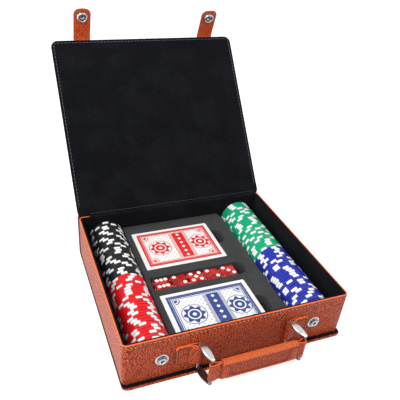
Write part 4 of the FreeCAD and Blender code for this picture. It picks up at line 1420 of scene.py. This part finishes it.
    def carry_band(self) -> None:
        """The band through the grip, folded round the front post of each link."""
        t = self.band_thick
        left, right = self.front_post(-1), self.front_post(1)
        r_left = self.post_radius + self.run_fit + t / 2
        r_right = self.post_radius + self.open_fit + t / 2
        y, lap = left[1], t / 2 + 0.03
        path = np.vstack([[(7.0, y + lap, 0)], [(right[0] - 6.0, y + lap, 0)], self.around(right, r_right, 90, -90),
                          [(right[0] - 6.0, y - lap, 0)], [(left[0] + 7.5, y - lap, 0)],
                          self.around(left, r_left, 270, 90), [(left[0] + 7.5, y + lap, 0)], [(6.0, y + lap, 0)]])
        path = eased(path, 0.35, 1.4)
        path[:, 2] = sum(self.band_z) / 2
        # The ends and the underside take painted shade, the top a painted highlight.
        shell = band(path, np.array([0, 0, 1.0]), t, (self.band_z[1] - self.band_z[0]) / 2, 0.36, "lit")
        piece("grip_band", shell, [Finish.HANDLE, Finish.EDGE, Finish.BRIGHT_EDGE], "grip",
              ["grip_strap"])

    def grip(self) -> None:
        """The padded grip: a rolled top, a panel sunk into both broad faces, and a flat lower lip.

        The section is a rounded rectangle whose inset grows and whose thickness shrinks towards the ends. A panel is
        a rounded rectangle too: a point's distance to its edge, less than nought inside, sets how far the point goes
        in, and a furrow, a bell curve of the height above the panel, carries the top stitches. The point marks paint
        a highlight on the rolled top and the lower lip, and paint shade on the panels, round their edges and near the
        ends; the end caps take painted shade.
        """
        x0, x1 = self.sleeve_x
        z0, z1 = self.sleeve_z
        half_t, half_h, middle = self.sleeve_thick / 2, (z1 - z0) / 2, (z0 + z1) / 2
        y = self.front_post(-1)[1]
        section = rounded_rectangle((-half_t, half_t), (-half_h, half_h), (2.9,) * 4, 8, 30)
        edge = np.concatenate([[0, 0.12, 0.4, 0.8, 1.3, 2.0], np.arange(3.0, (x1 - x0) / 2, 0.9)])
        xs = np.concatenate([x0 + edge, (x1 - edge)[::-1]])
        near = np.minimum(xs - x0, x1 - xs)
        inset = 1.1 * (1 - np.sqrt(np.clip(1 - (1 - near / 1.3).clip(0, 1) ** 2, 0, 1)))
        full = 0.80 + 0.20 * np.clip(near / 14.0, 0, 1) ** 0.55
        rings = []
        for x, d, share in zip(xs, inset, full):
            plan = section.at(d)
            rings.append(np.column_stack([np.full(len(plan), x), plan[:, 0] * share, plan[:, 1]]))
        points = np.stack(rings)
        low, high = -half_h + self.lip, half_h - self.roll
        frame_x, corner = (x1 - x0) / 2 - self.panel_end, 3.2
        qx = np.abs(points[..., 0] - (x0 + x1) / 2) - frame_x + corner
        qz = np.abs(points[..., 2] - (low + high) / 2) - (high - low) / 2 + corner
        outside = np.hypot(np.maximum(qx, 0), np.maximum(qz, 0)) + np.minimum(np.maximum(qx, qz), 0) - corner
        share = np.clip(0.5 - outside / 1.2, 0, 1)
        sunk = self.panel_depth * share * share * (3 - 2 * share)
        furrow = 0.45 * np.exp(-((points[..., 2] - high - 0.7) / 0.6) ** 2)
        broad = np.abs(points[..., 1]) > half_t * 0.72
        points[..., 1] -= np.where(broad, np.sign(points[..., 1]) * np.maximum(sunk, furrow), 0.0)
        # Painted light: a highlight on the rolled top and the lower lip, painted shade on the sunk panels, round
        # their edges and near the ends.
        top = np.exp(-((points[..., 2] - half_h + 0.8) / 2.0) ** 2)
        edges = np.exp(-(outside / 0.9) ** 2) * broad
        marks = 0.45 * top + 0.30 * (points[..., 2] < low - 1.2) - 0.35 * share * broad - 0.5 * edges
        marks -= 0.45 * np.exp(-(near / 1.2) ** 2)[:, None]
        points[..., 1] += y
        points[..., 2] += middle
        shell = grid(points)
        shell.marks[:marks.size] = marks.ravel()
        # The end caps take painted shade.
        shell.triangle_finish[:] = 1
        made = piece("grip_pad", shell, [Finish.HANDLE, Finish.EDGE], "grip", ["grip_sleeve"])
        self.grip_stitches(middle + high + 0.7, middle + low + 0.4)

    def grip_stitches(self, top: float, low: float) -> None:
        """The row under the rolled top, and the upright rows beside each end of the panel, on both faces.

        Args:
            top: height of the long row.
            low: height at which the upright rows end.
        """
        x0, x1 = self.sleeve_x
        y = self.front_post(-1)[1]
        post = self.panel_end - 1.6
        long_row = np.linspace((x0 + 1.6, 0, top), (x1 - 1.6, 0, top), 60)
        rows = [(long_row, 0.45)]
        rows += [(np.linspace((x, 0, low), (x, 0, top - 1.5), 14), 0.0) for x in (x0 + post, x1 - post)]
        thread = Thread(pitch=2.5, length=1.9, width=0.62, rise=0.26)
        runs = []
        for way in (-1.0, 1.0):
            for line, sunk in rows:
                ends = np.clip(np.minimum(line[:, 0] - x0, x1 - line[:, 0]) / 14.0, 0, 1)
                depth = self.sleeve_thick / 2 * (0.80 + 0.20 * ends ** 0.55) - sunk + 0.02
                path = line + np.column_stack([np.zeros(len(line)), y + way * depth, np.zeros(len(line))])
                runs.append(thread.stitched(path, np.array([0, way, 0]), 9))
        piece("grip_stitches", joined(runs), [Finish.GRIP_THREAD, Finish.HOLE], "grip")

    def build(self) -> None:
        """Makes the handle."""
        for sign in (-1, 1):
            self.tab(sign)
            self.link(sign)
        self.carry_band()
        self.grip()


@dataclass
class ChipRow:
    """Twenty-five chips on edge, each with its own turn, and a little play in its trough."""

    colour: str
    which: Finish
    x: float
    first_y: float
    seed: int
    z: float = 24.0
    radius: float = 19.5
    thick: float = 3.5
    pitch: float = 3.75
    count: int = 25
    front_lean: float = 0.0

    def chip(self) -> Shell:
        """One chip about the Y axis, with a rounded edge, a raised rim and a sunk middle on both faces."""
        h, r = self.thick / 2, self.radius
        face = [(11.6, h - 0.22), (12.3, h - 0.02), (r - 0.75, h), (r - 0.28, h - 0.08), (r - 0.06, h - 0.3),
                (r, h - 0.6)]
        profile = face + [(a, -b) for a, b in face[::-1]]
        turned = lathe(profile, 48)
        return turned.placed(np.array([[1.0, 0, 0], [0, 0, 1.0], [0, -1.0, 0]]), np.zeros(3))

    def build(self) -> None:
        """Makes the row."""
        chance = np.random.default_rng(self.seed)
        one = self.chip()
        chips = []
        for k in range(self.count):
            lean, yaw = chance.normal(0, 0.0013), chance.normal(0, 0.0013)
            push = 0.0
            if self.front_lean and k < 2:
                lean, push = math.radians(self.front_lean) * (1.0 if k == 0 else 0.7), -0.25 + 0.1 * k
            tilt = Matrix.Rotation(lean, 3, "X") @ Matrix.Rotation(yaw, 3, "Z")
            y = self.first_y + (k + 0.5) * self.pitch + push
            sag = chance.uniform(-0.16, 0.02)
            place = np.array([self.x + chance.normal(0, 0.12), y, self.z + sag])
            chips.append(one.placed(np.array(tilt), place).marked(chance.uniform(0, 1)))
        piece(f"chip_row_{self.colour}", joined(chips), [self.which], f"chips_{self.colour}",
              [f"chips_{self.colour}"])


@dataclass
class Carton:
    """A printed card carton with its end flap."""

    colour: str
    which: Finish
    y0: float
    x0: float = -57.0
    length: float = 93.0
    width: float = 66.0
    height: float = 17.0
    top: float = 30.4
    wall: float = 0.5

    def build(self) -> None:
        """Makes the carton and its flap."""
        z0, z1 = self.top - self.height, self.top
        body = rounded_rectangle((self.x0, self.x0 + self.length - self.wall), (self.y0, self.y0 + self.width),
                                 (0.9,) * 4, 5, 10)
        shell = slab(body, [(0.7, z0), (0.3, z0 + 0.06), (0.06, z0 + 0.25), (0.0, z0 + 0.6), (0.0, z1 - 0.6),
                            (0.06, z1 - 0.27), (0.24, z1 - 0.08), (0.5, z1), (0.85, z1 + 0.01)],
                     (0.97, 0.85, 0.6, 0.3), 0.14)
        piece(f"carton_body_{self.colour}", shell, [self.which], f"deck_{self.colour}",
              [f"carton_{self.colour}"])
        x = self.x0 + self.length
        plan = rounded_rectangle((self.y0 + 0.5, self.y0 + self.width - 0.5), (z0 + 0.5, z1 - 0.35), (1.0,) * 4, 5, 8)
        flap = slab(plan, [(0.3, -self.wall - 0.4), (0.0, -self.wall), (0.0, -0.16), (0.16, 0.0), (0.4, 0.0)],
                    (0.7, 0.3), 0.05)
        onto_end = np.array([[0, 0, 1.0], [1.0, 0, 0], [0, 1.0, 0]])
        piece(f"carton_end_{self.colour}", flap.placed(onto_end, np.array([x, 0, 0])), [self.which],
              f"deck_{self.colour}", [f"carton_flap_{self.colour}"])


class Way(Enum):
    """The six faces of a die: its direction, and the two directions that span the face."""

    TOP = ((0, 0, 1), (1, 0, 0), (0, 1, 0))
    BOTTOM = ((0, 0, -1), (1, 0, 0), (0, -1, 0))
    FRONT = ((0, -1, 0), (1, 0, 0), (0, 0, 1))
    BACK = ((0, 1, 0), (-1, 0, 0), (0, 0, 1))
    RIGHT = ((1, 0, 0), (0, 1, 0), (0, 0, 1))
    LEFT = ((-1, 0, 0), (0, -1, 0), (0, 0, 1))


@dataclass
class Dice:
    """Five dice in a row, with drilled and painted pips."""

    tops: tuple[int, ...] = (6, 2, 5, 2, 3)
    fronts: tuple[int, ...] = (4, 6, 1, 3, 5)
    size: float = 18.0
    pitch: float = 18.7
    middle_x: float = -10.3
    y: float = -9.0
    floor: float = 12.0
    edge: float = 3.2
    pip: float = 2.1
    spread: float = 4.6
    turns_deg: tuple[float, ...] = (0.8, -0.6, 0.5, -0.9, 0.7)

    def cube(self) -> Shell:
        """A cube with rounded edges: each point is its core point plus the edge radius times a unit vector."""
        h, r = self.size / 2, self.edge
        line = np.concatenate([[-h], -h + r * (1 - np.cos(np.radians([25, 50, 75]))) * 0.98, np.linspace(-h + r,
                               h - r, 5), h - r * (1 - np.cos(np.radians([75, 50, 25]))) * 0.98, [h]])
        a, b = np.meshgrid(line, line, indexing="ij")
        faces, points, start = [], [], 0
        for way in Way:
            out, one, two = (np.array(v, float) for v in way.value)
            raw = out * h + a[..., None] * one + b[..., None] * two
            core = np.clip(raw, -h + r, h - r)
            points.append((core + r * unit(raw - core)).reshape(-1, 3))
            number = np.arange(a.size).reshape(a.shape) + start
            faces.append(np.stack([number[:-1, :-1], number[1:, :-1], number[1:, 1:], number[:-1, 1:]],
                                  axis=-1).reshape(-1, 4))
            start += a.size
        flat, index = np.unique(np.round(np.vstack(points), 5), axis=0, return_inverse=True)
        quads = index.reshape(-1)[np.vstack(faces)]
        return Shell(flat, quads, np.zeros((0, 3), int), np.zeros(len(quads), int), np.zeros(0, int),
                     np.zeros(len(flat)))

    def pips(self, value: int) -> list[Pair]:
        """Where a face's pips sit, in steps of the spread."""
        corners = [(-1, 1), (1, -1), (-1, -1), (1, 1)]
        places = {1: [(0, 0)], 2: corners[:2], 3: [(0, 0)] + corners[:2], 4: corners, 5: [(0, 0)] + corners,
                  6: corners + [(0, -1), (0, 1)]}
        return places[value]

    def die(self, k: int) -> Shell:
        """One die with its pips.

        Args:
            k: its number from the left.

        Returns:
            Its surface, the pips on the second finish.
        """
        top, front = self.tops[k], self.fronts[k]
        rest = [n for n in range(1, 7) if n not in (top, 7 - top, front, 7 - front)]
        values = {Way.TOP: top, Way.BOTTOM: 7 - top, Way.FRONT: front, Way.BACK: 7 - front, Way.RIGHT: rest[0],
                  Way.LEFT: rest[1]}
        dot = lathe([(self.pip, -0.5), (self.pip, -0.02), (self.pip * 0.93, 0.05), (self.pip * 0.5, 0.09)], 16)
        parts = [self.cube()]
        for way, value in values.items():
            out, one, two = (np.array(v, float) for v in way.value)
            if np.dot(np.cross(one, two), out) < 0:
                one = -one
            turn = np.column_stack([one, two, out])
            for a, b in self.pips(value):
                at = out * self.size / 2 + one * a * self.spread + two * b * self.spread
                parts.append(dot.placed(turn, at).finished(1))
        return joined(parts)

    def build(self) -> None:
        """Makes the dice."""
        for k in range(len(self.tops)):
            angle = math.radians(self.turns_deg[k])
            turn = np.array([[math.cos(angle), -math.sin(angle), 0], [math.sin(angle), math.cos(angle), 0],
                             [0, 0, 1]])
            x = self.middle_x + (k - 2) * self.pitch
            place = np.array([x, self.y, self.floor + self.size / 2])
            piece(f"cast_die_{k + 1}", self.die(k).placed(turn, place), [Finish.DICE, Finish.PIPS], "dice",
                  [f"die_{k + 1}"])


@dataclass
class Insert:
    """The moulded insert, its edges eased as flocked sheet is."""

    ease: float = 0.9

    def build(self) -> None:
        """Merges a copy of the solid's triangles, joins those that are flat, and bevels what stays sharp."""
        source = frame["nodes"]["insert"]
        mesh = source.data.copy()
        work = bmesh.new()
        work.from_mesh(mesh)
        bmesh.ops.remove_doubles(work, verts=work.verts, dist=1e-6)
        bmesh.ops.dissolve_limit(work, angle_limit=math.radians(0.5), verts=work.verts, edges=work.edges)
        work.to_mesh(mesh)
        work.free()
        mesh.materials.clear()
        mesh.materials.append(finish(Finish.INSERT))
        mesh.polygons.foreach_set("use_smooth", np.ones(len(mesh.polygons), bool))
        made = bpy.data.objects.new("moulded_insert", mesh)
        bpy.context.scene.collection.objects.link(made)
        soft = made.modifiers.new("eased_edges", "BEVEL")
        soft.width = self.ease * MM
        soft.segments = 3
        soft.limit_method = "ANGLE"
        soft.angle_limit = math.radians(30)
        soft.harden_normals = True
        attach(made, "case")
        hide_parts("insert")
        LOG.info("moulded_insert: %d faces on case", len(mesh.polygons))


@dataclass
class PlainNodes:
    """The solids whose shape is right as they are, and their finishes."""

    finishes: dict[str, Finish] = field(default_factory=lambda: {
        "base_lining": Finish.LINING, "spine_lining": Finish.LINING,
        "base_board": Finish.BOARD, "spine_board": Finish.BOARD, "tray_board": Finish.BOARD,
        "lid_board": Finish.BOARD, "cards_red": Finish.STOCK, "cards_blue": Finish.STOCK})

    def dress(self) -> None:
        """Gives each solid its finish."""
        for name, which in self.finishes.items():
            mesh = frame["nodes"][name].data
            mesh.materials.clear()
            mesh.materials.append(finish(which))
            LOG.info("%s: dressed", name)


# Studio


@dataclass
class Studio:
    """The camera, the lamps, the world and the pale floor."""

    place: Colour = (-0.180937, -0.367597, 0.372644)
    right: Colour = (0.93455288, -0.34911511, 0.06877177)
    down: Colour = (-0.13935171, -0.53693481, -0.83203492)
    ahead: Colour = (0.32740192, 0.76799717, -0.55044376)
    focal_px: float = 494.047
    centre_px: Pair = (186.0846, 210.7842)
    image_px: float = 400.0
    ambient: float = 0.62
    floor_lift: float = 0.48

    def camera(self) -> None:
        """A camera whose axes, focal length and shift are the photograph's."""
        data = bpy.data.cameras.new("view")
        data.sensor_width = 36.0
        data.sensor_fit = "HORIZONTAL"
        data.lens = self.focal_px * data.sensor_width / self.image_px
        data.shift_x = (self.image_px / 2 - self.centre_px[0]) / self.image_px
        data.shift_y = (self.centre_px[1] - self.image_px / 2) / self.image_px
        data.clip_start = 0.01
        made = bpy.data.objects.new("view", data)
        bpy.context.scene.collection.objects.link(made)
        axes = Matrix((self.right, tuple(-c for c in self.down), tuple(-c for c in self.ahead))).transposed()
        made.matrix_world = Matrix.Translation(self.place) @ axes.to_4x4()
        bpy.context.scene.camera = made

    def lamp(self, name: str, place: Colour, aim: Colour, size: float, watts: float,
             tint: Colour = (1.0, 1.0, 1.0)) -> None:
        """A square soft lamp at a place, turned towards a point.

        Args:
            name: its name.
            place: where it is.
            aim: the point that it faces.
            size: its side.
            watts: its power.
            tint: its colour.
        """
        data = bpy.data.lights.new(name, "AREA")
        data.size = size
        data.energy = watts
        data.color = tint
        made = bpy.data.objects.new(name, data)
        bpy.context.scene.collection.objects.link(made)
        made.location = place
        direction = np.array(place) - np.array(aim)
        z = direction / np.linalg.norm(direction)
        x = np.cross([0, 0, 1.0], z) if abs(z[2]) < 0.99 else np.array([1.0, 0, 0])
        x = x / np.linalg.norm(x)
        y = np.cross(z, x)
        ray = Matrix((tuple(x), tuple(y), tuple(z))).transposed()
        made.rotation_euler = ray.to_euler()

    def seen(self, recipe: Recipe) -> Term:
        """One where a camera, glossy or transmission ray looks, else nought."""
        path = recipe.node("ShaderNodeLightPath")
        camera = Term(recipe, path.outputs["Is Camera Ray"])
        glossy = Term(recipe, path.outputs["Is Glossy Ray"])
        through = Term(recipe, path.outputs["Is Transmission Ray"])
        return camera.most(glossy).most(through)

    def world(self) -> None:
        """A world that is white to look at and gives an even, weaker light."""
        recipe = Recipe(bpy.data.worlds.new("studio"))
        bpy.context.scene.world = recipe.owner
        strength = self.seen(recipe) * (1.0 - self.ambient) + self.ambient
        glow = recipe.node("ShaderNodeBackground", None, {"Color": (1, 1, 1, 1), "Strength": strength})
        recipe.node("ShaderNodeOutputWorld", None, {"Surface": glow.outputs[0]})

    def floor(self) -> None:
        """A pale floor that shows the object's shadow and is otherwise white to look at."""
        recipe = Recipe.named("floor")
        shade = recipe.node("ShaderNodeBsdfDiffuse", None, {"Color": (0.86, 0.86, 0.86, 1)})
        glow = recipe.node("ShaderNodeEmission", None, {"Color": (1, 1, 1, 1),
                                                        "Strength": self.seen(recipe) * self.floor_lift})
        both = recipe.node("ShaderNodeAddShader", None, {0: shade.outputs[0], 1: glow.outputs[0]})
        recipe.node("ShaderNodeOutputMaterial", None, {"Surface": both.outputs[0]})
        size = 6.0
        mesh = bpy.data.meshes.new("floor")
        mesh.from_pydata([(-size, -size, 0), (size, -size, 0), (size, size, 0), (-size, size, 0)], [], [(0, 1, 2, 3)])
        mesh.materials.append(recipe.owner)
        made = bpy.data.objects.new("floor", mesh)
        bpy.context.scene.collection.objects.link(made)

    def build(self) -> None:
        """Sets up the studio."""
        self.camera()
        self.lamp("key", (-0.75, -0.50, 0.95), (0.0, 0.0, 0.03), 0.7, 10.0)
        self.lamp("left", (-1.10, 0.28, 0.45), (-0.11, 0.0, 0.03), 0.5, 4.6, (0.88, 1.0, 1.0))
        self.lamp("side", (0.75, 0.10, 1.05), (0.0, 0.0, 0.05), 0.6, 3.5)
        self.world()
        self.floor()
        view = bpy.context.scene.view_settings
        view.view_transform = "Standard"


def main() -> None:
    """Builds the case in order."""
    logging.basicConfig(level=logging.INFO, format="%(name)s: %(message)s")
    Studio().build()
    PlainNodes().dress()
    Insert().build()
    Tray().build()
    BaseAndSpine().build()
    lid = Lid()
    lid.build()
    SnapStrap("left", -77.2, 58.0, 0.0, lid).build()
    SnapStrap("right", 78.4, 67.0, -3.0, lid).build()
    Handle().build()
    split, row = 0.5, 93.75
    ChipRow("black", Finish.BLACK, -83.0, split, 11).build()
    ChipRow("red", Finish.RED, -83.0, split - row, 12).build()
    ChipRow("green", Finish.GREEN, 84.6, split, 13).build()
    ChipRow("blue", Finish.BLUE, 84.6, split - row, 14, front_lean=1.6).build()
    Carton("red", Finish.CARTON_RED, 13.3).build()
    Carton("blue", Finish.CARTON_BLUE, -93.2).build()
    Dice().build()


if __name__ == "__main__":
    main()
